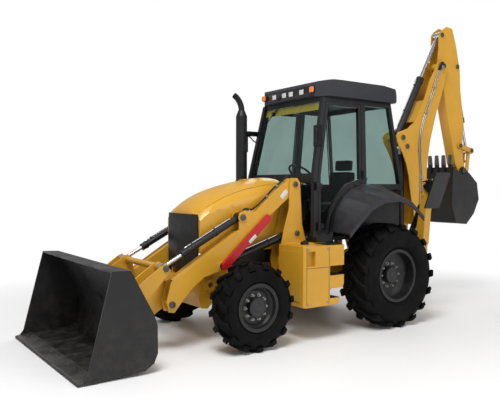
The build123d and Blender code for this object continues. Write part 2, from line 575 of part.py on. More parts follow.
def seat():
    """Seat on its pedestal: cushion, back with a head piece, and two arm rests."""
    cushion = fillet(box(-40, 400, -235, 235, 1430, 1545).edges(), 28)
    profile = [(-60, 1500), (55, 1500), (62, 1620), (20, 2010), (-10, 2130), (-75, 2130), (-90, 2010),
               (-40, 1620)]
    back = plate(profile, -225, 225)
    rims = back.edges().filter_by(Axis.Y, reverse=True).group_by(Axis.Y)
    back = chamfer(rims[0] + rims[-1], 20)
    body = cushion + back + mirrored(box(-30, 290, 190, 236, 1650, 1690))
    pedestal = box(60, 280, -130, 130, CAB_FLOOR_Z + SEAT, 1440)
    return body + pedestal


def console():
    foot = CAB_FLOOR_Z + SEAT
    body = plate([(760, foot), (1009, foot), (1009, 1790), (900, 1790), (800, 1500)], -160, 160)
    column = run_bar((860, 1700), (680, 1912), 34, 0)
    wheel_at = Plane(origin=(680, 0, 1912), z_dir=(-170, 0, 200))
    ring = wheel_at * Torus(185, 14)
    spokes = wheel_at * (Box(360, 24, 12) + Box(24, 360, 12))
    return body + column + ring + spokes


def nose_section(z, half, front):
    """The nose in plan at a height: a flat back and a bowed front."""
    back = HOOD_FRONT_X + SEAT
    rim = Polyline((back + 14, half), (back, half), (back, -half), (back + 14, -half))
    bow = ThreePointArc((back + 14, -half), (front, 0), (back + 14, half))
    return Pos(0, 0, z) * make_face([*rim.edges(), *bow.edges()])


def grille():
    """Black nose panel in front of the radiator, bowed both ways."""
    low, high = NOSE_PANEL_Z
    return loft([nose_section(low, 340, AX + 366), nose_section((low + high) / 2, 352, AX + 373),
                 nose_section(high, 338, AX + 358)])


def hood_section(x, foot, crease, crease_z, top, inset):
    """The hood across the machine at x: upright sides, a crease and a crowned top."""
    foot, crease, crease_z, top = foot - inset, crease - inset, crease_z - inset, top - inset
    sides = Polyline((-crease, crease_z), (-foot, crease_z - 60), (-foot, HOOD_FOOT_Z), (foot, HOOD_FOOT_Z),
                     (foot, crease_z - 60), (crease, crease_z))
    crown = ThreePointArc((crease, crease_z), (0, top), (-crease, crease_z))
    face = make_face([*sides.edges(), *crown.edges()])
    return Plane(origin=(x, 0, 0), x_dir=(0, 1, 0), z_dir=(1, 0, 0)) * face


HOOD_SHAPE = [
    # columns: x, half width at the foot, half width at the crease, crease z, top z
    (HOOD_REAR_X, 385, 360, 1720, 1855), (1600, 398, 368, 1700, 1835), (AX - 154, 398, 366, 1640, 1760),
    (AX + 140, 394, 356, 1555, 1655), (HOOD_FRONT_X, 386, 338, 1430, 1508),
]


def hood():
    """Hood: a thin shell over the engine, with a brow above the nose panel and two hinge ears."""
    outer = loft([hood_section(*row, 0) for row in HOOD_SHAPE])
    inner = loft([hood_section(*row, HOOD_WALL) for row in HOOD_SHAPE])
    shell = outer - Pos(-HOOD_WALL, 0, 0) * inner
    shell -= box(HOOD_REAR_X - 20, AX + 400, -500, 500, 900, HOOD_FOOT_Z + 10)
    high = NOSE_PANEL_Z[1] + SEAT
    front = hood_section(AX + 366, 340, 280, 1438, 1460, 0)
    brow = loft([hood_section(*HOOD_SHAPE[-1], 0), front], ruled=True)
    brow &= extrude(nose_section(high, 338, AX + 358), 100)
    x, z = HOOD_AXIS
    ear = plate([(x - 18, z), (x - 18, z + 55), (x + 35, z + 55), (x + 35, z), (x + 18, z - 16), (x, z - 19)],
                60, 72)
    return shell + Pos(-SEAT, 0, 0) * brow + mirrored(ear - y_bar(HOOD_AXIS, 9 + RUN, 50, 80))


EXHAUST_AT, EXHAUST_R, OUTLET_R = (1175, -680), 76, 40


def exhaust_stack():
    """Exhaust: a wide muffler beside the hood and a narrow outlet that curves forward."""
    x, y = EXHAUST_AT
    pipe = Pos(x, y, 1252) * Cylinder(OUTLET_R, 333)
    pipe += Pos(x, y, 2060) * Cylinder(EXHAUST_R, 1290)
    pipe += Pos(x, y, 2742) * Cone(EXHAUST_R, OUTLET_R + 6, 76)
    bend = ThreePointArc((x, y, 2775), (x + 28, y, 2885), (x + 118, y, 2975))
    pipe += sweep(Plane(origin=(x, y, 2775), z_dir=(0, 0, 1)) * Circle(OUTLET_R), bend)
    tip = Plane(origin=(x + 118, y, 2975), z_dir=bend.tangent_at(1))
    pipe -= extrude(tip * Circle(OUTLET_R - 5), -18)
    for z in (1460, 1700):
        pipe += box(x + 10, x + 60, y, -TOWER_Y - TOWER_HALF - TOWER_WALL, z, z + 12)
    stay = box(905, x - EXHAUST_R + 10, y, y + 8, 2440, 2502)
    stay += box(905, x - EXHAUST_R + 10, y + 8, y + 60, 2490, 2502)
    return pipe + (stay - cab_frame())


LAMPS_Y, AMBER_Y = (-280, -70, 70, 280), 492


def roof_lamps():
    """White work lamps let into the roof's front, and an amber lamp at each end."""
    lamps = mirrored(box(ROOF_FRONT - 8 + SEAT, ROOF_FRONT + 34, AMBER_Y - 34, AMBER_Y + 36, 2898, 2972)
                     - box(ROOF_FRONT - 9, ROOF_FRONT + SEAT, AMBER_Y - 40, AMBER_Y + 40, 2890, 2980))
    for y in LAMPS_Y:
        lamps += box(ROOF_FRONT - 8 + SEAT, ROOF_FRONT + 6, y - 42, y + 42, 2900, 2962)
    return lamps


def mirrors():
    at_z = 2350
    y = side_plane_y(at_z)
    arm = run_bar((940, at_z), (1075, at_z), 9, y - 20)
    arm += y_bar((1075, at_z), 9, y - 20, 790)
    arm += box(1066, 1084, 772, 790, at_z - 150, at_z + 150)
    arm += box(1050, 1068, 690, 860, at_z - 130, at_z + 130)
    return mirrored(arm) - cab_frame()


def across(shape):
    """Turns a piece made in the XZ plane to stand across the machine, X to Y."""
    return Rot(0, 0, 90) * shape


STAB_MIDDLE = -STAB_X                  # a stabiliser's middle before it is turned
HINGE_LOW, HINGE_HIGH = (470, 560), (800, 890)      # the frame's two swing ears, as z
EAR_R = 74
HOE_IN = RAIL_Y + RAIL_WALL / 2        # inner side of the stabiliser boxes, on the rails


def hoe_frame():
    outline = [(-560, 430), (560, 430), (560, 1010), (270, 1010), (250, 885), (-250, 885), (-270, 1010),
               (-560, 1010)]
    body = across(plate(outline, 1132, 1170))
    for s in (1, -1):
        body -= x_bar((s * REAR_TIE_DOWN[0], REAR_TIE_DOWN[1]), TIE_DOWN_R, -1180, -1120)
    for a, b in ((STAB_HALF + SIDE_GAP, STAB_HALF + 30), (-STAB_HALF - 30, -STAB_HALF - SIDE_GAP)):
        cheek = [(HOE_IN, 560), (640, 560), (690, 640), (690, 740), (560, 1040), (HOE_IN, 1040)]
        body += mirrored(across(plate(cheek, STAB_MIDDLE + a, STAB_MIDDLE + b)))
    reach = STAB_HALF + 30
    for pin in (STAB_PIVOT, STAB_BASE_PIN):
        body += mirrored(across(y_bar(pin, STAB_PIN_R, STAB_MIDDLE - reach, STAB_MIDDLE + reach)))
    body += mirrored(box(-1140, STAB_X - STAB_HALF - 20, HOE_IN, HOE_IN + 28, 560, 1010))
    body += mirrored(box(STAB_X - STAB_HALF - 20, STAB_X + STAB_HALF + 20, HOE_IN, HOE_IN + 22, 560, 1040))
    for low, high in (HINGE_LOW, HINGE_HIGH):
        ear = box(SWING_X, -1165, -EAR_R, EAR_R, low, high)
        ear += Pos(SWING_X, 0, (low + high) / 2) * Cylinder(EAR_R, high - low)
        body += ear - Pos(SWING_X, 0, (low + high) / 2) * Cylinder(SWING_PIN_R + RUN, high - low + 2)
    for s in (1, -1):
        plane = Plane(origin=(-1160, s * 520, 560), z_dir=(-0.3, -s, 0))
        body += extrude(plane * Circle(40), 250)
    return body


WEB_FRONT = SWING_X - EAR_R - 10


def swing_post():
    low, high = HINGE_LOW[1] + SIDE_GAP, HINGE_HIGH[0] - SIDE_GAP
    body = Pos(SWING_X, 0, (low + high) / 2) * Cylinder(EAR_R - 4, high - low)
    body += Pos(SWING_X, 0, 680) * Cylinder(SWING_PIN_R, 430)
    body += box(WEB_FRONT - 60, SWING_X, -EAR_R + 4, EAR_R - 4, low, high)
    top = HINGE_HIGH[1] + SIDE_GAP
    body += box(WEB_FRONT - 60, WEB_FRONT, -86, 86, low, top + 40)
    body += box(WEB_FRONT - 60, SWING_X + 60, -86, 86, top, top + 40)
    body += y_bar(BOOM_FOOT, 50, -BOOM_HALF + BOOM_WALL + SIDE_GAP, BOOM_HALF - BOOM_WALL - SIDE_GAP)
    body += y_bar(BOOM_FOOT, HOE_PIN_R, -BOOM_HALF - 12, BOOM_HALF + 12)
    ears = [(-1420, top), (-1190, top), (-1182, 1060), (-1210, 1118), (-1262, 1122), (-1420, top + 40)]
    for s in (1, -1):
        body += plate(ears, min(s * 66, s * 86), max(s * 66, s * 86))
    return body + y_bar(BOOM_BASE_PIN, HOE_PIN_R, -96, 96)


BOOM_OUTLINE = [
    (-1440, 836), (-1426, 880), (-1405, 1180), (-1367, 1439), (-1332, 1531), (-1286, 1759), (-1257, 1928),
    (-1205, 2095), (-1120, 2251), (-1010, 2400), (-985, 2490), (-1030, 2548), (-1232, 2612), (-1382, 2723),
    (-1487, 2901), (-1587, 3058), (-1720, 3370), (-1920, 3680), (-2030, 3710), (-2100, 3680), (-2130, 3600),
    (-2000, 3181), (-1862, 2858), (-1736, 2456), (-1670, 2106), (-1660, 1875), (-1600, 1500), (-1555, 1180),
    (-1540, 850), (-1490, 822),
]


def boom():
    body = both_plates(BOOM_OUTLINE, 0, BOOM_HALF, BOOM_WALL)
    inner, outer = BOOM_HALF - BOOM_WALL, BOOM_HALF
    rear = [(-1557, 1180), (-1600, 1500), (-1660, 1875), (-1670, 2106), (-1736, 2456), (-1862, 2858),
            (-2000, 3181)]
    front = [(-1382, 2723), (-1487, 2901), (-1587, 3058)]
    for cover, wall in ((rear, -BOOM_WALL), (front, BOOM_WALL)):
        body += sheet_along(cover, wall, -BOOM_HALF + 7, BOOM_HALF - 7)
    for pin, boss in ((BOOM_EYE, 52), (DIPPER_BASE_PIN, 52)):
        for s in (1, -1):
            y0, y1 = sorted((s * 66, s * (inner + 1)))
            body += y_bar(pin, boss, y0, y1)
    body += y_bar(DIPPER_BASE_PIN, HOE_PIN_R, -BOOM_HALF - 12, BOOM_HALF + 12)
    for pin in (BOOM_FOOT, DIPPER_PIVOT):
        body -= y_bar(pin, HOE_PIN_R + RUN, -outer - 1, outer + 1)
    for s in (1, -1):
        y0, y1 = sorted((s * (outer - 1), s * (outer + 12)))
        body += y_bar(BOOM_EYE, HOE_PIN_R, y0, y1)
    return body


def boom_barrel():
    return barrel(BOOM_BASE_PIN, BOOM_EYE, BOOM_SHOW, BOOM_BARREL_R, BOOM_ROD_R, HOE_PIN_R, 0, 60)


def boom_rod():
    return rod(BOOM_BASE_PIN, BOOM_EYE, 140, BOOM_ROD_R, 50, 0, 60)


DIPPER_OUTLINE = [
    (-1988, 4098), (-2050, 4180), (-2161, 4250), (-2304, 4238), (-2400, 4000), (-2480, 3720), (-2510, 3600),
    (-2528, 3300), (-2585, 2989), (-2628, 2740), (-2600, 2480), (-2612, 2229), (-2668, 2060), (-2655, 1985),
    (-2590, 1945), (-2520, 1985), (-2426, 2126), (-2201, 2901), (-2080, 3400), (-1975, 3540), (-1955, 3640),
    (-1985, 3895),
]
DIPPER_REAR_COVER = [(-2392, 3560), (-2462, 3300), (-2536, 2989), (-2588, 2740), (-2560, 2480)]
DIPPER_FRONT_COVER = [(-2426, 2126), (-2201, 2901), (-2080, 3400)]


def dipper():
    body = both_plates(DIPPER_OUTLINE, 0, DIPPER_HALF, DIPPER_WALL)
    inner = DIPPER_HALF - DIPPER_WALL
    body += sheet_along(DIPPER_FRONT_COVER, DIPPER_WALL, -inner - 6, inner + 6)
    body += sheet_along(DIPPER_REAR_COVER, DIPPER_WALL, -inner - 6, inner + 6)
    boss = BOOM_HALF - BOOM_WALL - SIDE_GAP
    body += y_bar(DIPPER_PIVOT, HOE_PIN_R + 26, -boss, boss)
    body += y_bar(DIPPER_PIVOT, HOE_PIN_R, -BOOM_HALF - 12, BOOM_HALF + 12)
    body += y_bar(BUCKET_BASE_PIN, HOE_PIN_R, -DIPPER_HALF - 12, DIPPER_HALF + 12)
    body += y_bar(HOE_PIVOT, 62, -DIPPER_HALF, DIPPER_HALF)
    body += y_bar(IDLER_PIVOT, HOE_PIN_R, -DIPPER_HALF - 34, DIPPER_HALF + 34)
    for s in (1, -1):
        y0, y1 = sorted((s * (DIPPER_HALF - 1), s * (DIPPER_HALF + 12)))
        body += y_bar(DIPPER_EYE, HOE_PIN_R, y0, y1)
    return body - y_bar(HOE_PIVOT, HOE_PIN_R + RUN, -DIPPER_HALF - 1, DIPPER_HALF + 1)


def dipper_barrel():
    return barrel(DIPPER_BASE_PIN, DIPPER_EYE, DIPPER_SHOW, DIPPER_BARREL_R, DIPPER_ROD_R, HOE_PIN_R, 0, 60)


def dipper_rod():
    return rod(DIPPER_BASE_PIN, DIPPER_EYE, 830, DIPPER_ROD_R, 48, 0, 60)


def bucket_barrel():
    return barrel(BUCKET_BASE_PIN, LINK_PIN, BUCKET_SHOW, BUCKET_BARREL_R, BUCKET_ROD_R, HOE_PIN_R, 0, 56)


def bucket_rod():
    return rod(BUCKET_BASE_PIN, LINK_PIN, 450, BUCKET_ROD_R, 46, 0, 26)


def link_bar(a, b, radius, y0, y1):
    """A flat link with round ends."""
    flat = y_bar(a, radius, y0, y1) + y_bar(b, radius, y0, y1)
    length = math.dist(a, b)
    ux, uz = (b[0] - a[0]) / length, (b[1] - a[1]) / length
    wide = radius * 0.72
    sides = [(a[0] - uz * wide, a[1] + ux * wide), (b[0] - uz * wide, b[1] + ux * wide),
             (b[0] + uz * wide, b[1] - ux * wide), (a[0] + uz * wide, a[1] - ux * wide)]
    return flat + plate(sides, y0, y1)


IDLER_Y = DIPPER_HALF + SIDE_GAP


def idler_links():
    link = link_bar(IDLER_PIVOT, LINK_PIN, 50, IDLER_Y, IDLER_Y + 20)
    link += y_bar(LINK_PIN, 46, 62, IDLER_Y + 1)
    link -= y_bar(IDLER_PIVOT, HOE_PIN_R + RUN, IDLER_Y - 1, IDLER_Y + 21)
    return mirrored(link + y_bar(LINK_PIN, HOE_PIN_R, 29, IDLER_Y + 30))


def tipping_link():
    cheek = link_bar(LINK_PIN, HOE_LINK_PIN, 48, 34, 56)
    link = mirrored(cheek)
    link += y_bar(toward(LINK_PIN, HOE_LINK_PIN, 170), 20, -40, 40)
    link -= y_bar(LINK_PIN, HOE_PIN_R + RUN, -60, 60)
    return link


HOE_FLOOR = [(-2476, 1978), (-2682, 1818), (-2735, 1560), (-2610, 1335), (-2425, 1172), (-2170, 1196),
             (-2058, 1477), (-2078, 2060)]
HOE_CHEEK = [(-2085, 2055), (-2300, 1950), (-2472, 1970), (-2676, 1812), (-2727, 1560), (-2604, 1340),
             (-2423, 1180), (-2174, 1204), (-2065, 1477)]
HOE_EAR = [(-2488, 1960), (-2530, 2050), (-2590, 2082), (-2640, 2055), (-2790, 1935), (-2800, 1870),
           (-2745, 1832), (-2670, 1812)]
TEETH_Y = (-255, -128, 0, 128, 255)


def hoe_bucket():
    body = mirrored(plate(HOE_CHEEK, HOE_BUCKET_HALF - HOE_BUCKET_WALL, HOE_BUCKET_HALF))
    body += sheet_along(HOE_FLOOR, HOE_BUCKET_WALL, -HOE_BUCKET_HALF, HOE_BUCKET_HALF)
    ear_y = DIPPER_HALF + SIDE_GAP
    body += mirrored(plate(HOE_EAR, ear_y, ear_y + 22))
    body += y_bar(HOE_PIVOT, HOE_PIN_R, -ear_y - 30, ear_y + 30)
    for y in TEETH_Y:
        tooth = [(-2058, 1960), (-2092, 1960), (-2098, 2090), (-2066, 2246), (-2058, 2246), (-2050, 2090)]
        body += plate(tooth, y - 28, y + 28)
    return body


def stabiliser(side, piece):
    if piece == "leg":
        outline = [(560, 660), (640, 660), (770, 1000), (800, 1400), (872, 1800), (820, 1862), (760, 1800),
                   (690, 1400), (620, 1000), (550, 740)]
        low, high = STAB_MIDDLE - STAB_HALF, STAB_MIDDLE + STAB_HALF
        body = plate(outline, low, low + 12) + plate(outline, high - 12, high)
        body += sheet_along([(680, 790), (770, 1000), (800, 1400), (872, 1800)], 12, low + 6, high - 6)
        body += y_bar(STAB_PIVOT, STAB_PIN_R + 22, low, high)
        body -= y_bar(STAB_PIVOT, STAB_PIN_R + RUN, low - 1, high + 1)
        for y0, y1 in ((low - 10, low + 1), (high - 1, high + 10)):
            body += y_bar(STAB_EYE, STAB_PIN_R, y0, y1)
        body += y_bar(STAB_FOOT, 20, low - 60, high + 60)
    elif piece == "pad":
        low, high = STAB_MIDDLE - STAB_HALF, STAB_MIDDLE + STAB_HALF
        body = plate([(868, 1462), (1048, 1935), (1030, 1942), (850, 1469)], low - 90, high + 90)
        for y0, y1 in ((low - 44, low - 28), (high + 28, high + 44)):
            ear = [(800, 1745), (780, 1830), (905, 1850), (995, 1830), (930, 1660), (870, 1680)]
            body += plate(ear, y0, y1)
        body -= y_bar(STAB_FOOT, 20 + RUN, low - 91, high + 91)
    elif piece == "barrel":
        body = barrel(STAB_BASE_PIN, STAB_EYE, STAB_SHOW, STAB_BARREL_R, STAB_ROD_R, STAB_PIN_R,
                      STAB_MIDDLE, 42)
    else:
        body = rod(STAB_BASE_PIN, STAB_EYE, 120, STAB_ROD_R, 36, STAB_MIDDLE, 36)
    body = across(body)
    return body if side > 0 else mirror(body, Plane.XZ)


NODES = {
    "main_frame": main_frame,
    "loader_arms": loader_arms,
    "safety_strut": safety_strut,
    "lift_barrels": lift_barrels,
    "lift_rods": lift_rods,
    "tilt_barrels": tilt_barrels,
    "tilt_rods": tilt_rods,
    "coupler": coupler,
    "loader_bucket": loader_bucket,
    "front_axle": front_axle,
    "rear_axle": rear_axle,
    "engine_block": engine_block,
    "step_boxes": step_boxes,
    "fenders": fenders,
    "cab_frame": cab_frame,
    "cab_roof": cab_roof,
    "cab_glass": cab_glass,
    "seat": seat,
    "console": console,
    "grille": grille,
    "hood": hood,
    "exhaust_stack": exhaust_stack,
    "roof_lamps": roof_lamps,
    "mirrors": mirrors,
    "hoe_frame": hoe_frame,
    "swing_post": swing_post,
    "boom": boom,
    "dipper": dipper,
    "hoe_bucket": hoe_bucket,
    "boom_barrel": boom_barrel,
    "boom_rod": boom_rod,
    "dipper_barrel": dipper_barrel,
    "dipper_rod": dipper_rod,
    "bucket_barrel": bucket_barrel,
    "bucket_rod": bucket_rod,
    "idler_links": idler_links,
    "tipping_link": tipping_link,
}
for SIDE, WORD in ((1, "left"), (-1, "right")):
    NODES[f"door_{WORD}"] = lambda s=SIDE: door(s)
    NODES[f"door_glass_{WORD}"] = lambda s=SIDE: door_glass(s)
    NODES[f"knuckle_{WORD}"] = lambda s=SIDE: knuckle(s)
    for PIECE in ("leg", "pad", "barrel", "rod"):
        NODES[f"stabiliser_{PIECE}_{WORD}"] = lambda p=PIECE, s=SIDE: stabiliser(s, p)
    for END in ("front", "rear"):
        NODES[f"{END}_tyre_{WORD}"] = lambda e=END, s=SIDE: wheel_tyre(e, s)
        NODES[f"{END}_rim_{WORD}"] = lambda e=END, s=SIDE: wheel_rim(e, s)

os.makedirs("parts", exist_ok=True)
for NAME, make in NODES.items():
    shape = Pos(-MID_X, 0, 0) * make()
    export_step(shape, f"parts/{NAME}.step")
    print(NAME, len(shape.solids()))
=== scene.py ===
"""Looks of a backhoe loader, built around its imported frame."""
import json
import math

import bmesh
import bpy
from mathutils import Matrix, Vector


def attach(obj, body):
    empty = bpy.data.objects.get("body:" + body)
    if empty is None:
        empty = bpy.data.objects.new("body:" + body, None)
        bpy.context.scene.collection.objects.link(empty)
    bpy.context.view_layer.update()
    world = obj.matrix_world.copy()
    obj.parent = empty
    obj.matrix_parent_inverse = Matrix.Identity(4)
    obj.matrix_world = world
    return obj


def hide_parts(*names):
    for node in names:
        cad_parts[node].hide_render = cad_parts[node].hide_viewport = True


bl_info = {
    "name": "Backhoe loader looks",
    "version": (1, 0, 0),
    "blender": (4, 5, 0),
    "location": "View3D > Sidebar > Loader",
    "description": "Paint, tyres, hoses, lamps and trim of a backhoe loader",
    "category": "Object",
}

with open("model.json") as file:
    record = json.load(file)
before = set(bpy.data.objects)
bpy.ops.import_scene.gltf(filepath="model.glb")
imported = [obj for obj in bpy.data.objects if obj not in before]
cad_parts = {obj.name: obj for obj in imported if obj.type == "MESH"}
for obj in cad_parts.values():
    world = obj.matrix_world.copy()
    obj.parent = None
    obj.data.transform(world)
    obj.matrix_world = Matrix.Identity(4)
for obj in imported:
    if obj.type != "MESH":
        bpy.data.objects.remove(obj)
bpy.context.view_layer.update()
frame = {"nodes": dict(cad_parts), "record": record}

# Places are measured as on the drawing: millimetres forward of the rear axle, to the left and up
MID_X = 600
WHEELBASE = 2104
SIDES = (("left", 1), ("right", -1))


def spot(x, y, z):
    """A point of the drawing, in the frame's metres."""
    return Vector(((x - MID_X) / 1000, y / 1000, z / 1000))


class LoaderSizes(bpy.types.PropertyGroup):
    """Sizes of the added pieces that a user would change."""
    edge_round: bpy.props.FloatProperty(
        name="Edge rounding", description="Width of the small bevel on plate edges", default=0.004, unit="LENGTH")
    lug_depth: bpy.props.FloatProperty(
        name="Lug depth", description="Height of a tyre's lugs", default=0.032, unit="LENGTH")
    front_lugs: bpy.props.IntProperty(
        name="Front lugs", description="Lugs in each of a front tyre's two rows", default=15)
    rear_lugs: bpy.props.IntProperty(
        name="Rear lugs", description="Lugs in each of a rear tyre's two rows", default=17)
    nut_count: bpy.props.IntProperty(
        name="Wheel nuts", description="Nuts in a wheel's ring", default=10)
    hose_radius: bpy.props.FloatProperty(
        name="Hose radius", description="Radius of a hydraulic hose", default=0.011, unit="LENGTH")


class LoaderColours(bpy.types.PropertyGroup):
    """Colours that a user would change."""
    body: bpy.props.FloatVectorProperty(
        name="Body paint", description="Paint of the arms, hood and frame", subtype="COLOR",
        default=(0.60, 0.31, 0.022), min=0, max=1)
    bucket: bpy.props.FloatVectorProperty(
        name="Bucket paint", description="Paint of the two buckets", subtype="COLOR",
        default=(0.007, 0.007, 0.0075), min=0, max=1)
    plastic: bpy.props.FloatVectorProperty(
        name="Fender plastic", description="Plastic of the fenders and the roof", subtype="COLOR",
        default=(0.016, 0.0165, 0.022), min=0, max=1)
    strut: bpy.props.FloatVectorProperty(
        name="Strut paint", description="Paint of the arm's safety strut", subtype="COLOR",
        default=(0.46, 0.004, 0.010), min=0, max=1)


def feed(tree, socket, value):
    """Gives a socket a link or a plain value."""
    if isinstance(value, bpy.types.NodeSocket):
        tree.links.new(value, socket)
    else:
        socket.default_value = value


def set_inputs(tree, node, **values):
    """Feeds a node's inputs by their names, where a low line stands for a space."""
    for name, value in values.items():
        feed(tree, node.inputs[name.replace("_", " ")], value)
    return node


def add_node(tree, kind, **values):
    return set_inputs(tree, tree.nodes.new("ShaderNode" + kind), **values)


def object_place(tree):
    return add_node(tree, "TexCoord").outputs["Object"]


def noise(tree, coords, scale, detail, roughness):
    return add_node(tree, "TexNoise", Vector=coords, Scale=scale, Detail=detail, Roughness=roughness).outputs["Fac"]


def ramp(tree, value, low, high):
    """A smooth step of a value from low to high."""
    node = add_node(tree, "MapRange", Value=value, From_Min=low, From_Max=high)
    node.interpolation_type = "SMOOTHSTEP"
    return node.outputs["Result"]


def maths(tree, operation, first, second):
    node = add_node(tree, "Math")
    node.operation = operation
    for socket, value in zip(node.inputs, (first, second)):
        feed(tree, socket, value)
    return node.outputs[0]


def add_group(name, inputs, output):
    """A new shader node group: its tree, what its inputs give inside it, and what its output takes."""
    group = bpy.data.node_groups.new(name, "ShaderNodeTree")
    for label, value in inputs:
        group.interface.new_socket(label, in_out="INPUT", socket_type="NodeSocketFloat").default_value = value
    group.interface.new_socket(output, in_out="OUTPUT", socket_type="NodeSocketFloat")
    into = group.nodes.new("NodeGroupInput").outputs
    return group, into, group.nodes.new("NodeGroupOutput").inputs[output]


def blotch_group():
    """Slow changes of shade over a surface."""
    group, into, out = add_group("slow_blotches", [("Scale", 2.0)], "Mask")
    feed(group, out, ramp(group, noise(group, object_place(group), into["Scale"], 4.0, 0.6), 0.32, 0.68))
    return group


def dust_group():
    """Dust that gathers on the low parts and on what faces up."""
    group, into, out = add_group("road_dust", [("Reach", 1.0), ("Amount", 0.3)], "Mask")
    place = object_place(group)
    height = add_node(group, "SeparateXYZ", Vector=place).outputs["Z"]
    low = maths(group, "SUBTRACT", 1.0, maths(group, "DIVIDE", height, into["Reach"]))
    normal = add_node(group, "NewGeometry").outputs["Normal"]
    facing = add_node(group, "SeparateXYZ", Vector=normal).outputs["Z"]
    up = maths(group, "MULTIPLY", maths(group, "MAXIMUM", facing, 0.0), 0.45)
    both = maths(group, "ADD", maths(group, "MAXIMUM", low, 0.0), up)
    grain = ramp(group, noise(group, place, 9.0, 6.0, 0.65), 0.35, 0.75)
    mask = maths(group, "MULTIPLY", maths(group, "MULTIPLY", both, grain), into["Amount"])
    feed(group, out, maths(group, "MINIMUM", mask, 1.0))
    return group


def scuff_group():
    """Long thin scratches and rubbed spots."""
    group, into, out = add_group("scuffs", [("Scale", 6.0), ("Spread", 0.5)], "Mask")
    stretch = add_node(group, "Mapping", Vector=object_place(group), Scale=(1.0, 0.35, 2.6), Rotation=(0.3, 0.5, 0.2))
    marks = noise(group, stretch.outputs[0], into["Scale"], 8.0, 0.72)
    edge = maths(group, "SUBTRACT", 0.74, maths(group, "MULTIPLY", into["Spread"], 0.2))
    over = maths(group, "MULTIPLY", maths(group, "SUBTRACT", marks, edge), 9.0)
    feed(group, out, maths(group, "MINIMUM", maths(group, "MAXIMUM", over, 0.0), 1.0))
    return group


def grain_group():
    """Fine height for a bump: peel of paint, grain of plastic or pits of a casting."""
    group, into, out = add_group("fine_grain", [("Scale", 300.0), ("Pits", 0.0)], "Height")
    place = object_place(group)
    fine = noise(group, place, into["Scale"], 2.0, 0.5)
    pits = add_node(group, "TexVoronoi", Vector=place, Scale=into["Scale"]).outputs["Distance"]
    feed(group, out, maths(group, "ADD", fine, maths(group, "MULTIPLY", pits, into["Pits"])))
    return group


GROUP_MAKERS = {"blotch": blotch_group, "dust": dust_group, "scuff": scuff_group, "grain": grain_group}
GROUPS = {}


def use_group(tree, name, **values):
    """A node group placed in a material with its own values."""
    if name not in GROUPS:
        GROUPS[name] = GROUP_MAKERS[name]()
    node = add_node(tree, "Group")
    node.node_tree = GROUPS[name]
    return set_inputs(tree, node, **values).outputs[0]


def blend(tree, mask, first, second):
    """A mix of two colours by a mask; each is a colour or a socket."""
    node = add_node(tree, "Mix")
    node.data_type = "RGBA"
    feed(tree, node.inputs["Factor"], mask)
    for socket, value in zip(node.inputs[6:8], (first, second)):
        feed(tree, socket, (*value, 1) if isinstance(value, tuple) else value)
    return node.outputs[2]


def bumped(tree, height, strength, depth):
    return add_node(tree, "Bump", Height=height, Strength=strength, Distance=depth).outputs["Normal"]


DUST = (0.30, 0.25, 0.19)
BARE = (0.32, 0.31, 0.30)
RUBBED = (0.06, 0.06, 0.06)
COAT_ROUGHNESS = 0.12
BUMP_DEPTH = 0.002
# How much rougher full dust makes a surface
DUST_ROUGHNESS = 0.35


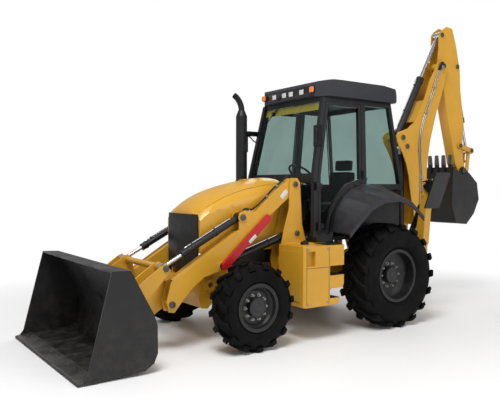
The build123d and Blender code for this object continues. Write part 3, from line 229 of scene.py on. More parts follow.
def finishes():
    """The finish of each material slot, by its name."""
    paint = bpy.context.scene.loader_colours
    body, bucket, plastic, strut = (tuple(tone) for tone in (paint.body, paint.bucket, paint.plastic, paint.strut))
    # columns: colour, roughness, shade of blotches, dust, its reach, grain, bump, gloss, others by name
    # A scuff has its spread, its colour and its scale
    return {
        "yellow_paint": (body, (0.30, 0.42), 0.90, 0.07, 0.9, 420, 0.03, 0.4,
                         {"coat": 0.12, "scuff": (0.06, BARE, 6)}),
        "hood_paint": (body, (0.26, 0.36), 0.94, 0.05, 0.7, 420, 0.02, 0.4, {"coat": 0.2}),
        "bucket_charcoal": (bucket, (0.40, 0.58), 0.8, 0.09, 0.8, 200, 0.05, 0.4,
                            {"coat": 0.05, "scuff": (0.32, (0.045, 0.045, 0.047), 4)}),
        "dark_plastic": (plastic, (0.48, 0.58), 0.88, 0.06, 2.2, 650, 0.10, 0.4, {}),
        "interior_plastic": ((0.005, 0.005, 0.0055), (0.5, 0.62), 0.85, 0.008, 2.0, 700, 0.12, 0.3, {}),
        "chassis_black": ((0.008, 0.008, 0.009), (0.34, 0.5), 0.8, 0.07, 1.0, 300, 0.05, 0.35,
                          {"scuff": (0.08, RUBBED, 6)}),
        "cab_black": ((0.007, 0.007, 0.008), (0.32, 0.44), 0.9, 0.02, 1.6, 350, 0.03, 0.35, {}),
        "nose_black": ((0.003, 0.003, 0.0032), (0.44, 0.54), 0.85, 0.008, 1.6, 520, 0.06, 0.35, {}),
        "engine_grey": ((0.08, 0.08, 0.08), (0.5, 0.7), 0.85, 0.3, 1.4, 160, 0.25, 0.5,
                        {"metallic": 0.3, "pits": 0.6}),
        "red_paint": (strut, (0.30, 0.42), 0.9, 0.04, 1.0, 420, 0.03, 0.4, {"coat": 0.15}),
        "bright_rod": ((0.60, 0.60, 0.62), (0.10, 0.18), 0.94, 0.02, 1.0, 500, 0.01, 0.5, {"metallic": 1.0}),
        "gloss_black": ((0.006, 0.006, 0.007), (0.14, 0.22), 0.9, 0.01, 1.0, 500, 0.01, 0.5, {"coat": 0.2}),
        "pin_steel": ((0.11, 0.108, 0.10), (0.35, 0.5), 0.75, 0.1, 1.0, 260, 0.05, 0.5, {"metallic": 0.8}),
        "zinc": ((0.42, 0.41, 0.38), (0.28, 0.45), 0.8, 0.08, 1.0, 300, 0.04, 0.5, {"metallic": 1.0}),
        "tyre_rubber": ((0.002, 0.002, 0.0021), (0.62, 0.82), 0.7, 0.006, 1.1, 260, 0.16, 0.13, {"pits": 0.3}),
        "rim_black": ((0.0075, 0.0075, 0.009), (0.34, 0.48), 0.85, 0.04, 0.9, 350, 0.04, 0.4,
                      {"scuff": (0.08, RUBBED, 6)}),
        "hub_grey": ((0.022, 0.0225, 0.025), (0.45, 0.6), 0.85, 0.08, 0.9, 220, 0.1, 0.4, {"pits": 0.4}),
        "rubber_hose": ((0.007, 0.007, 0.008), (0.42, 0.6), 0.85, 0.03, 1.4, 900, 0.1, 0.35, {}),
        "seat_fabric": ((0.018, 0.019, 0.021), (0.8, 0.95), 0.75, 0.02, 2.0, 900, 0.4, 0.2, {"pits": 0.8}),
        "steel_worn": ((0.16, 0.157, 0.15), (0.35, 0.55), 0.7, 0.12, 0.5, 150, 0.08, 0.5,
                       {"metallic": 0.85, "scuff": (0.5, (0.4, 0.39, 0.375), 6)}),
        "black_grip": ((0.008, 0.008, 0.009), (0.6, 0.75), 0.8, 0.06, 1.4, 220, 0.5, 0.3, {"pits": 1.0}),
        "window_band": ((0.20, 0.175, 0.02), (0.25, 0.35), 0.9, 0.02, 1.0, 400, 0.02, 0.4, {}),
        "plain_label": ((0.60, 0.60, 0.58), (0.35, 0.45), 0.95, 0.03, 1.0, 400, 0.01, 0.5, {}),
    }


# Glass and smooth lenses: scale of the blotches, the two colours that they blend, and the shader's values
LENSES = {
    "glass": (2.5, (0.63, 0.77, 0.74), (0.67, 0.81, 0.78),
              {"Roughness": 0.0, "Transmission Weight": 1.0, "IOR": 1.2}),
    "amber_lens": (30.0, (0.72, 0.13, 0.012), (0.85, 0.22, 0.02), {"Roughness": 0.18, "Coat Weight": 1.0}),
    "mirror_glass": (4.0, (0.75, 0.78, 0.80), (0.82, 0.84, 0.86), {"Metallic": 1.0, "Roughness": 0.04}),
}


def plain_shader(name):
    material = bpy.data.materials.new(name)
    material.use_nodes = True
    return material, material.node_tree, material.node_tree.nodes["Principled BSDF"]


def ribbed_lens(tree, shader):
    """A work lamp's ribbed lens over a bright reflector."""
    wave = add_node(tree, "TexWave", Vector=object_place(tree), Scale=60.0)
    wave.bands_direction = "Y"
    ribs = wave.outputs["Fac"]
    set_inputs(tree, shader, Base_Color=blend(tree, ribs, (0.62, 0.63, 0.64), (0.85, 0.86, 0.86)), Metallic=0.35,
               Roughness=0.12, Coat_Weight=1.0, Normal=bumped(tree, ribs, 0.4, 0.003))


def used_surface(tree, shader, colour, rough, shade, dust, reach, grain, bump, gloss, more):
    """A blotched colour with scuffs, dust and a fine bump."""
    darker = tuple(shade * part for part in colour)
    paint = blend(tree, use_group(tree, "blotch", Scale=1.7), darker, colour)
    if "scuff" in more:
        spread, tone, scale = more["scuff"]
        paint = blend(tree, use_group(tree, "scuff", Scale=scale, Spread=spread), paint, tone)
    dirt = use_group(tree, "dust", Reach=reach, Amount=dust)
    patches = use_group(tree, "blotch", Scale=5.0)
    dull = add_node(tree, "MapRange", Value=patches, To_Min=rough[0], To_Max=rough[1]).outputs["Result"]
    height = use_group(tree, "grain", Scale=grain, Pits=more.get("pits", 0.0))
    set_inputs(tree, shader, Base_Color=blend(tree, dirt, paint, DUST), Metallic=more.get("metallic", 0.0),
               Roughness=maths(tree, "ADD", dull, maths(tree, "MULTIPLY", dirt, DUST_ROUGHNESS)),
               Coat_Weight=more.get("coat", 0.0), Coat_Roughness=COAT_ROUGHNESS, Specular_IOR_Level=gloss,
               Normal=bumped(tree, height, bump, BUMP_DEPTH))


def surface(name):
    """The material of that name, made the first time it is asked for."""
    title = "loader_" + name
    if title in bpy.data.materials:
        return bpy.data.materials[title]
    material, tree, shader = plain_shader(title)
    if name == "lamp_lens":
        ribbed_lens(tree, shader)
    elif name in LENSES:
        scale, first, second, values = LENSES[name]
        tint = blend(tree, use_group(tree, "blotch", Scale=scale), first, second)
        set_inputs(tree, shader, Base_Color=tint, **values)
    else:
        used_surface(tree, shader, *finishes()[name])
    return material


def add_object(name, data):
    """A new object in the scene."""
    made = bpy.data.objects.new(name, data)
    bpy.context.scene.collection.objects.link(made)
    return made


def to_mesh(name, form):
    """The mesh of a bmesh, which is freed."""
    mesh = bpy.data.meshes.new(name)
    form.to_mesh(mesh)
    form.free()
    return mesh


def keep_piece(name, form, look, body="machine", smooth_angle=35):
    """Stores a bmesh as a piece that rides on a body."""
    bmesh.ops.remove_doubles(form, verts=form.verts, dist=0.00002)
    bmesh.ops.recalc_face_normals(form, faces=form.faces)
    mesh = to_mesh(name, form)
    piece = add_object(name, mesh)
    mesh.materials.append(surface(look))
    mesh.shade_smooth()
    mesh.set_sharp_from_angle(angle=math.radians(smooth_angle))
    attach(piece, body)
    return piece


def edges_at(verts):
    """The edges that meet at some corners, each once and in a fixed order."""
    return list(dict.fromkeys(edge for vert in verts for edge in vert.link_edges))


def bevel_edges(form, edges, width, segments=2):
    bmesh.ops.bevel(form, geom=list(edges), offset=width, offset_type="OFFSET", affect="EDGES", segments=segments,
                    profile=0.5, material=-1, clamp_overlap=True)


def sharp_edges(form, angle):
    """The edges where two faces meet at more than an angle."""
    limit = math.radians(angle)
    return [edge for edge in form.edges if len(edge.link_faces) == 2 and edge.calc_face_angle(0) > limit]


def block(form, low, high, round_by=0.0, segments=2, side=1):
    """A box with rounded edges between two corners of the drawing, added to a bmesh; side -1 puts it on the right."""
    y0, y1 = sorted((side * low[1], side * high[1]))
    low, high = spot(low[0], y0, low[2]), spot(high[0], y1, high[2])
    place = Matrix.Translation((low + high) / 2) @ Matrix.Diagonal((*(high - low), 1))
    made = bmesh.ops.create_cube(form, size=1, matrix=place)["verts"]
    if round_by:
        bevel_edges(form, edges_at(made), round_by, segments)


def bar(form, start, end, radius, segments=20, round_by=0.0, end_radius=None):
    """A round bar between two points, added to a bmesh."""
    along = end - start
    turn = along.to_track_quat("Z", "Y").to_matrix().to_4x4()
    place = Matrix.Translation((start + end) / 2) @ turn
    made = bmesh.ops.create_cone(form, cap_ends=True, segments=segments, radius1=radius,
                                 radius2=radius if end_radius is None else end_radius, depth=along.length,
                                 matrix=place)["verts"]
    if round_by:
        rims = [edge for edge in edges_at(made) if any(len(face.verts) > 4 for face in edge.link_faces)]
        bevel_edges(form, rims, round_by, 2)


def bolt(form, foot, out, *steps):
    """Bars along one line from a foot: start, end, radius, sides and rounding of each, in metres."""
    for start, end, radius, segments, round_by in steps:
        bar(form, foot + out * start, foot + out * end, radius, segments, round_by)


def turned(form, profile, centre, axis, steps):
    """A full turn of a profile given as (along the axis, radius), added to a bmesh."""
    axis = axis.normalized()
    side = axis.orthogonal().normalized()
    line = [form.verts.new(centre + axis * along + side * radius) for along, radius in profile]
    edges = [form.edges.new(pair) for pair in zip(line, line[1:])]
    bmesh.ops.spin(form, geom=line + edges, cent=centre, axis=axis, angle=math.tau, steps=steps, use_merge=True,
                   use_duplicate=False)


def run_tube(name, points, radius, look, body="machine", slot="interior_plastic"):
    """A pipe or hose as a smooth curve through its route, made a mesh."""
    curve = bpy.data.curves.new(name + "_route", "CURVE")
    curve.dimensions = "3D"
    curve.bevel_depth = radius
    curve.bevel_resolution = 3
    curve.resolution_u = 6
    curve.use_fill_caps = True
    line = curve.splines.new("NURBS")
    line.points.add(len(points) - 1)
    for point, place in zip(line.points, points):
        point.co = (*place, 1)
    line.order_u = 3
    line.use_endpoint_u = True
    holder = add_object(name + "_route", curve)
    bpy.context.view_layer.update()
    mesh = bpy.data.meshes.new_from_object(holder)
    bpy.data.objects.remove(holder)
    form = bmesh.new()
    form.from_mesh(mesh)
    bpy.data.meshes.remove(mesh)
    return keep_piece(name, form, look, body, 60)


def side_tube(name, route, side, *rest):
    """A tube whose route is given on the drawing for the left, made on one side."""
    return run_tube(name, [spot(x, side * y, z) for x, y, z in route], *rest)


# Which material each CAD node gets, where it isn't its record slot
NODE_LOOKS = {
    "hood": "hood_paint", "grille": "nose_black", "cab_frame": "cab_black", "main_frame": "yellow_paint",
    "step_boxes": "yellow_paint", "hoe_frame": "yellow_paint", "front_axle": "yellow_paint",
    "door_left": "cab_black", "door_right": "cab_black",
}


def dress_node(node, look, round_by):
    """Gives a CAD node its finish and softens its plate edges."""
    mesh = node.data
    mesh.materials.clear()
    mesh.materials.append(surface(look))
    if "custom_normal" in mesh.attributes:
        mesh.attributes.remove(mesh.attributes["custom_normal"])
    if look == "glass":
        mesh.shade_flat()
        return
    mesh.shade_smooth()
    join = node.modifiers.new("join", "WELD")
    join.merge_threshold = 0.00005
    edges = node.modifiers.new("edges", "BEVEL")
    edges.width = round_by
    edges.segments = 2
    edges.limit_method = "ANGLE"
    edges.angle_limit = math.radians(38)
    edges.harden_normals = True
    edges.use_clamp_overlap = True


class LOADER_OT_frame(bpy.types.Operator):
    """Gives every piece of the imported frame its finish"""
    bl_idname = "loader.dress_frame"
    bl_label = "Dress the frame"

    def execute(self, context):
        slots = {row["node"]: row["material_slot"] for row in frame["record"]["subparts"]}
        for name, node in frame["nodes"].items():
            look = "glass" if "glass" in name else NODE_LOOKS.get(name, slots[name])
            dress_node(node, look, context.scene.loader_sizes.edge_round)
        return {"FINISHED"}


# Tyres: radius, width, rim radius, place of the centre; all in millimetres
TYRES = {
    "front": (475, 300, 246, (WHEELBASE, 908, 475)),
    "rear": (646, 460, 318, (0, 876, 646)),
}


def tyre_lug(form, centre, radius, width, depth, side, count):
    """One slanted lug of a traction tread, as rings of four corners from the middle to the shoulder."""
    half = width / 2
    pitch = math.tau / count
    lean = 0.6 * width / radius
    # columns: share of the way to the shoulder, turn as a share of the lean, rise in lug depths
    steps = ((-0.10, 0.0, 0.0), (0.16, 0.16, 0.0), (0.42, 0.34, 0.0), (0.66, 0.52, -0.02), (0.86, 0.60, -0.16),
             (0.99, 0.62, -0.62), (1.0, 0.62, -1.25))

    def ring(share, turn, rise_by):
        thick = pitch * (0.15 + 0.05 * abs(share))
        top = radius + depth * rise_by
        base = radius - depth * 1.3 + depth * rise_by * 0.9
        across = side * half * min(share, 0.985)
        places = []
        for rise, spread in ((base, 1.15), (top, 0.82)):
            for sign in (-1, 1):
                angle = turn * lean + sign * thick * spread
                places.append(centre + Vector((rise * math.sin(angle), across, rise * math.cos(angle))))
        return [places[0], places[1], places[3], places[2]]

    rings = [[form.verts.new(place) for place in ring(*step)] for step in steps]
    for near, far in zip(rings, rings[1:]):
        for k in range(4):
            form.faces.new((near[k], near[(k + 1) % 4], far[(k + 1) % 4], far[k]))
    form.faces.new(rings[0][::-1])
    form.faces.new(rings[-1])


def make_tyre(end, word, side, sizes):
    """A tyre: carcass with sidewall rings, and two staggered rows of lugs."""
    radius, width, rim, place = TYRES[end]
    centre = spot(place[0], side * place[1], place[2])
    radius, width, rim = radius / 1000, width / 1000, rim / 1000
    count = sizes.front_lugs if end == "front" else sizes.rear_lugs
    half = width / 2
    tread = radius - sizes.lug_depth
    wall = tread - rim
    # columns: share of the half width, radius
    profile = [(-0.66, rim - 0.006), (-0.74, rim + 0.02), (-0.86, rim + wall * 0.14), (-0.905, rim + wall * 0.16),
               (-0.905, rim + wall * 0.20), (-0.93, rim + wall * 0.22), (-0.975, rim + wall * 0.45),
               (-0.96, rim + wall * 0.66), (-0.93, rim + wall * 0.80), (-0.82, rim + wall * 0.94),
               (-0.5, tread - 0.002), (0.0, tread + 0.003)]
    profile += [(-share, height) for share, height in profile[-2::-1]]
    profile += [(0.60, rim - 0.006), (-0.60, rim - 0.006), profile[0]]
    form = bmesh.new()
    turned(form, [(share * half, height) for share, height in profile], centre, Vector((0, 1, 0)), 96)
    for row in (1, -1):
        lug = bmesh.new()
        tyre_lug(lug, centre, radius, width, sizes.lug_depth, row, count)
        bmesh.ops.recalc_face_normals(lug, faces=lug.faces)
        bevel_edges(lug, sharp_edges(lug, 25), 0.004, 1)
        if row < 0:
            bmesh.ops.rotate(lug, verts=lug.verts, cent=centre,
                             matrix=Matrix.Rotation(math.pi / count, 3, "Y"))
        bmesh.ops.spin(lug, geom=lug.verts[:] + lug.edges[:] + lug.faces[:], cent=centre, axis=(0, 1, 0),
                       angle=math.tau * (count - 1) / count, steps=count - 1, use_duplicate=True)
        spare = to_mesh("lugs", lug)
        form.from_mesh(spare)
        bpy.data.meshes.remove(spare)
    body = f"{end}_wheel_{word}"
    piece = keep_piece(f"{end}_tyre_tread_{word}", form, "tyre_rubber", body, 40)
    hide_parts(f"{end}_tyre_{word}")


# Wheel fittings: y of the disc's outer face from the tyre's middle, nut ring radius, hub radius, hub length
WHEEL_FITTINGS = {
    "front": (54, 132, 92, 62),
    "rear": (34, 150, 102, 66),
}


def make_wheel_fittings(end, word, side, nut_count):
    """Nuts and a domed hub cap on a wheel's disc."""
    face_y, ring, hub, length = WHEEL_FITTINGS[end]
    place = TYRES[end][3]
    out = Vector((0, side, 0))
    middle = spot(place[0], side * (place[1] + face_y), place[2])
    nuts = bmesh.new()
    for k in range(nut_count):
        angle = math.tau * k / nut_count
        foot = middle + Vector((math.cos(angle), 0, math.sin(angle))) * ring / 1000
        bolt(nuts, foot, out, (-0.004, 0.004, 0.019, 16, 0.001), (0.003, 0.024, 0.0145, 6, 0.0015),
             (0.02, 0.036, 0.008, 12, 0.001))
    keep_piece(f"{end}_nuts_{word}", nuts, "zinc", f"{end}_wheel_{word}")
    cap = bmesh.new()
    profile = [(0.0, hub), (length * 0.72, hub), (length * 0.86, hub - 6), (length * 0.9, hub - 16),
               (length * 0.9, hub * 0.5), (length, hub * 0.42), (length, 0.001)]
    turned(cap, [(along / 1000, radius / 1000) for along, radius in profile], middle, out, 40)
    keep_piece(f"{end}_hub_cap_{word}", cap, "hub_grey", f"{end}_wheel_{word}")


class LOADER_OT_wheels(bpy.types.Operator):
    """Makes the tyres with their lugs, the wheel nuts and the hub caps"""
    bl_idname = "loader.make_wheels"
    bl_label = "Wheels"

    def execute(self, context):
        sizes = context.scene.loader_sizes
        for word, side in SIDES:
            for end in TYRES:
                make_tyre(end, word, side, sizes)
                make_wheel_fittings(end, word, side, sizes.nut_count)
        return {"FINISHED"}


def prism(form, corners, way, round_by=0.0, segments=2):
    """A flat outline carried along a way, added to a bmesh."""
    foot = [form.verts.new(place) for place in corners]
    head = [form.verts.new(Vector(place) + way) for place in corners]
    count = len(foot)
    faces = [form.faces.new(foot[::-1]), form.faces.new(head)]
    faces += [form.faces.new((foot[k], foot[(k + 1) % count], head[(k + 1) % count], head[k])) for k in range(count)]
    if round_by:
        edges = dict.fromkeys(edge for face in faces for edge in face.edges)
        bevel_edges(form, edges, round_by, segments)


def side_prism(form, outline, y0, y1, round_by=0.0):
    """An (x, z) outline of the drawing carried from y0 to y1."""
    prism(form, [spot(x, y0, z) for x, z in outline], Vector((0, (y1 - y0) / 1000, 0)), round_by)


# Roof front: y of the white lamps and of the amber ones, and x of the roof's face
WHITE_LAMPS_Y, AMBER_Y = (-280, -70, 70, 280), (-493, 493)
ROOF_FRONT = 920


class LOADER_OT_roof_lamps(bpy.types.Operator):
    """Makes the black panel in the roof's front with its work lamps and corner lamps"""
    bl_idname = "loader.make_roof_lamps"
    bl_label = "Roof lamps"

    def execute(self, context):
        panel, lenses, amber, feet = (bmesh.new() for _ in range(4))
        block(panel, (ROOF_FRONT - 7.6, -447, 2886), (ROOF_FRONT - 3, 447, 2982), 0.0015)
        for y in WHITE_LAMPS_Y:
            block(panel, (ROOF_FRONT - 4, y - 46, 2896), (ROOF_FRONT + 2, y + 46, 2966), 0.002)
            block(lenses, (ROOF_FRONT, y - 40, 2902), (ROOF_FRONT + 6, y + 40, 2960), 0.0025, 3)
        for y in AMBER_Y:
            block(amber, (ROOF_FRONT + 6, y - 33, 2902), (ROOF_FRONT + 34, y + 33, 2970), 0.009, 4)
            block(feet, (ROOF_FRONT + 0.4, y - 35, 2898), (ROOF_FRONT + 9, y + 35, 2973), 0.003)
        keep_piece("roof_front_panel", panel, "gloss_black")
        white = keep_piece("work_lamp_lenses", lenses, "lamp_lens", "machine")
        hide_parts("roof_lamps")
        keep_piece("corner_lamp_lenses", amber, "amber_lens", "machine")
        keep_piece("corner_lamp_feet", feet, "interior_plastic")
        return {"FINISHED"}


# Windshield: x and z of its foot, and how far it leans back with each unit of height
WINDSHIELD_X, WINDSHIELD_Z, WINDSHIELD_LEAN = 1026.5, 1880, 0.2132


def windshield(y, z, ahead=0.0):
    """A point on the front of the windshield, or some millimetres ahead of it."""
    return spot(WINDSHIELD_X - WINDSHIELD_LEAN * (z - WINDSHIELD_Z) + ahead, y, z - ahead * WINDSHIELD_LEAN)


def strip(form, start, end, width, lift, round_by=0.001):
    """A flat bar between two points, width across and lift thick, added to a bmesh; its flat side faces lift."""
    along = (end - start).normalized()
    across = along.cross(lift).normalized() * width / 2
    prism(form, [start - across, start + across, end + across, end - across], lift, round_by)


class LOADER_OT_windows(bpy.types.Operator):
    """Makes the windshield's coloured band, its black border and the wipers"""
    bl_idname = "loader.make_windows"
    bl_label = "Windshield trim"

    def execute(self, context):
        band = bmesh.new()
        corners = [windshield(y, z, 0.8) for y, z in ((-568, 2694), (568, 2694), (562, 2784), (-562, 2784))]
        prism(band, corners, Vector((0.0015, 0, 0.0003)))
        keep_piece("windshield_band", band, "window_band", "machine")
        lift = Vector((0.978, 0, 0.2085))
        seal = bmesh.new()
        for start, end in (((-622, 1886), (-562, 2786)), ((622, 1886), (562, 2786)), ((-622, 1892), (622, 1892))):
            strip(seal, windshield(*start, 1), windshield(*end, 1), 0.030, lift * 0.004)
        keep_piece("windshield_seal", seal, "rubber_hose")
        wiper = bmesh.new()
        for place in ((-552, 2063), (-371, 2719)):
            foot = windshield(*place, 2)
            bar(wiper, foot, foot + lift * 0.034, 0.024, 24, 0.003)
        # columns: start and end as (y, z), width, height above the glass, thickness
        for start, end, width, ahead, thick in (
                ((-371, 2719), (-290, 2786), 0.022, 24, 0.008), ((-371, 2719), (-520, 2560), 0.014, 26, 0.006),
                ((-552, 2063), (-548, 2360), 0.016, 26, 0.006), ((-566, 2110), (-540, 2650), 0.013, 14, 0.009),
                ((-566, 2110), (-540, 2650), 0.006, 5, 0.009)):
            strip(wiper, windshield(*start, ahead), windshield(*end, ahead), width, lift * thick)
        keep_piece("wipers", wiper, "interior_plastic")
        return {"FINISHED"}


# Route of the left mirror's arm
MIRROR_ARM = ((925, 628, 2350), (985, 640, 2352), (1046, 668, 2440), (1082, 720, 2452), (1086, 775, 2420),
              (1086, 775, 2280))


class LOADER_OT_mirrors(bpy.types.Operator):
    """Makes the two outer mirrors on their bent arms"""
    bl_idname = "loader.make_mirrors"
    bl_label = "Mirrors"

    def execute(self, context):
        shells, glass, clamps = bmesh.new(), bmesh.new(), bmesh.new()
        for word, side in SIDES:
            block(shells, (1051, 692, 2222), (1083, 858, 2478), 0.013, 4, side)
            block(glass, (1049, 704, 2234), (1052, 846, 2466), 0.001, side=side)
            for z in (2300, 2400):
                block(clamps, (1060, 761, z - 16), (1090, 789, z + 16), 0.004, side=side)
            side_tube(f"mirror_arm_{word}", MIRROR_ARM, side, 0.009, "cab_black")
        piece = keep_piece("mirror_shells", shells, "interior_plastic")
        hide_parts("mirrors")
        keep_piece("mirror_glasses", glass, "mirror_glass", "machine")
        keep_piece("mirror_clamps", clamps, "cab_black")
        return {"FINISHED"}


# Pins with a cap on both sides: body, x, z, y of the face, radius of the cap
PINS = [
    ("machine", 1262, 1780, 595, 34), ("machine", 1235, 1200, 595, 34),
    ("loader_arms", WHEELBASE + 158, 880, 570, 40), ("loader_arms", WHEELBASE - 105, 1406, 578, 36),
    ("loader_arms", WHEELBASE + 781, 520, 578, 36), ("loader_bucket", WHEELBASE + 857, 904, 590, 34),
    ("swing_post", -1482, 880, 148, 38), ("boom", -1215, 2350, 148, 38), ("boom", -1125, 2475, 148, 38),
    ("dipper", -2035, 3620, 148, 38), ("dipper", -2050, 4105, 92, 36), ("dipper", -2440, 3660, 92, 36),
    ("dipper", -2512, 2412, 114, 34), ("idler_links", -2804, 2343, 116, 34), ("hoe_bucket", -2590, 2020, 116, 36),
    ("swing_post", -1240, 1060, 96, 34),
]


# Radius of a cap's raised middle, and how far out its bolts lie, in metres for each millimetre of the cap's radius
CAP_MIDDLE, CAP_BOLTS = 0.00062, 0.00036
# Direction of the first lock bolt in radians
BOLT_TURN = 0.6


class LOADER_OT_pins(bpy.types.Operator):
    """Makes the caps and lock bolts of the pivot pins"""
    bl_idname = "loader.make_pins"
    bl_label = "Pivot pins"

    def execute(self, context):
        forms = {}
        for body, x, z, face, radius in PINS:
            form = forms.setdefault(body, bmesh.new())
            for side in (1, -1):
                out = Vector((0, side, 0))
                foot = spot(x, side * face, z)
                bolt(form, foot, out, (-0.003, 0.007, radius / 1000, 32, 0.002),
                     (0.006, 0.009, radius * CAP_MIDDLE, 24, 0.001))
                for turn in (BOLT_TURN, BOLT_TURN + math.pi):
                    spoke = Vector((math.cos(turn), 0, math.sin(turn))) * radius * CAP_BOLTS
                    bolt(form, foot + spoke, out, (0.006, 0.015, 0.0075, 6, 0.001))
        for body, form in forms.items():
            keep_piece(f"pin_caps_{body}", form, "pin_steel", body)
        return {"FINISHED"}


def beside(base, eye, y, run, lift=0):
    """A point beside a cylinder: run from its base towards its eye, lift above its middle line."""
    length = math.dist(base, eye)
    ux, uz = (eye[0] - base[0]) / length, (eye[1] - base[1]) / length
    sign = 1 if ux > 0 else -1
    return spot(base[0] + ux * run - uz * lift * sign, y, base[1] + uz * run + ux * lift * sign)


# Cylinders: body, base, eye, y of the middle, barrel radius, length of the barrel, side its pipe is on
CYLINDERS = [
    ("lift_barrels", (1235, 1200), (WHEELBASE + 158, 880), 495, 40, 899, 1),
    ("tilt_barrels", (WHEELBASE - 105, 1406), (WHEELBASE + 857, 904), 495, 37, 830, 1),
    ("boom_barrel", (-1240, 1060), (-1215, 2350), 0, 56, 1180, -1),
    ("dipper_barrel", (-1125, 2475), (-2050, 4105), 0, 54, 1070, 1),
    ("bucket_barrel", (-2440, 3660), (-2804, 2343), 0, 44, 900, 1),
]
# Y of the left loader arm and of the left pipes on the boom
ARM_Y, BOOM_PIPE_Y = 495, 145
# Routes on the left: the hose in a loader arm as (x, z), the lift cylinder's hose, and the boom's pipe as (x, z)
ARM_HOSE = ((WHEELBASE - 150, 1452), (WHEELBASE - 160, 1496), (WHEELBASE - 215, 1498), (1850, 1486), (1790, 1498),
            (1640, 1622), (1530, 1726), (1420, 1794), (1345, 1850), (1300, 1880), (1262, 1872), (1256, 1840))
LIFT_HOSE = ((1330, 495, 1215), (1336, 495, 1262), (1310, 515, 1306), (1262, 529, 1318), (1228, 525, 1290),
             (1220, 515, 1236))
BOOM_PIPE = ((-1466, 1010), (-1490, 1300), (-1520, 1900), (-1470, 2250), (-1480, 2520), (-1560, 2800),
             (-1700, 3050), (-1840, 3400), (-1900, 3540))
# How far the second pipe on each side of the boom lies behind the first
PIPE_GAP = 34


def dress_cylinder(body, base, eye, middle, radius, length, hand):
    """The pipe, bands and clamps of one cylinder or of a pair."""
    bands = bmesh.new()
    foot, out = radius * 0.8 * hand, (radius + 11) * hand
    for k, y in enumerate((middle, -middle) if middle else (0,)):
        route = ((112, foot), (118, out), (160, out), (length - 120, out), (length - 66, out), (length - 58, foot))
        run_tube(f"{body}_pipe_{k}", [beside(base, eye, y, *place) for place in route], 0.0075, "bright_rod", body,
                 "bright_rod")
        for run, thick, wide in ((length - 78, 9, 26), (length - 14, 7, 12), (length * 0.42, 4, 16)):
            start, end = beside(base, eye, y, run), beside(base, eye, y, run + wide)
            bar(bands, start, end, (radius + thick) / 1000, 40, 0.0015)
        for run in (length * 0.42, length - 160):
            low, high = beside(base, eye, y, run, radius * 0.9 * hand), beside(base, eye, y, run, out * 1.18)
            bar(bands, low, high, 0.012, 6, 0.001)
    keep_piece(f"{body}_bands", bands, "cab_black", body)


class LOADER_OT_hydraulics(bpy.types.Operator):
    """Makes the cylinders' pipes, clamps and glands, and the pipes and hoses along the arms and the boom"""
    bl_idname = "loader.make_hydraulics"
    bl_label = "Pipes and hoses"

    def execute(self, context):
        hose = context.scene.loader_sizes.hose_radius
        for cylinder in CYLINDERS:
            dress_cylinder(*cylinder)
        for word, side in SIDES:
            route = [(x, ARM_Y, z) for x, z in ARM_HOSE]
            side_tube(f"arm_hose_{word}", route, side, hose, "rubber_hose", "loader_arms")
            side_tube(f"lift_hose_{word}", LIFT_HOSE, side, hose, "rubber_hose", "lift_barrels")
            clips = bmesh.new()
            for x, z in ((1620, 1640), (1475, 1762), (1870, 1474)):
                block(clips, (x - 12, ARM_Y - 18, z - 22), (x + 12, ARM_Y + 18, z + 12), 0.003, side=side)
            block(clips, (1938, ARM_Y - 51, 1448), (1962, ARM_Y + 51, 1474), 0.003, side=side)
            keep_piece(f"arm_hose_clips_{word}", clips, "zinc", "loader_arms")
            for k, shift in enumerate((0, PIPE_GAP)):
                route = [(x - shift, BOOM_PIPE_Y, z) for x, z in BOOM_PIPE]
                side_tube(f"boom_pipe_{word}_{k}", route, side, 0.0085, "zinc", "boom", "bright_rod")
                loop = (route[-1], (-1915 - shift, 154, 3590), (-1935 - shift, 172, 3655),
                        (-1965 - shift * 0.4, 174, 3668), (-1966 - shift * 0.6, 160, 3600))
                side_tube(f"boom_hose_{word}_{k}", loop, side, hose, "rubber_hose", "boom")
            clamps = bmesh.new()
            for x, z in ((-1508, 1300), (-1532, 1900), (-1494, 2300), (-1620, 2860), (-1806, 3270)):
                block(clamps, (x - 36, 134, z - 13), (x + 36, 158, z + 13), 0.003, side=side)
            block(clamps, (-2004, 134, 3560), (-1948, 178, 3614), 0.003, side=side)
            keep_piece(f"boom_pipe_clamps_{word}", clamps, "zinc", "boom")
        return {"FINISHED"}


# Anti-slip pads: rear, front, inner y, outer y and z; then first and end x of their studs, and the studs' pitch in y
STEP_PADS = ((975, 1112, 812, 1046, 478, 993, 1104, 27), (911, 1112, 812, 1046, 738, 993, 1104, 27),
             (912, 1150, 800, 1044, 1085, 930, 1140, 28))
# Studs: how many in a row, the first one's distance from the pad's edge, and their pitch in x
STUDS, STUD_MARGIN, STUD_PITCH = 8, 22, 26


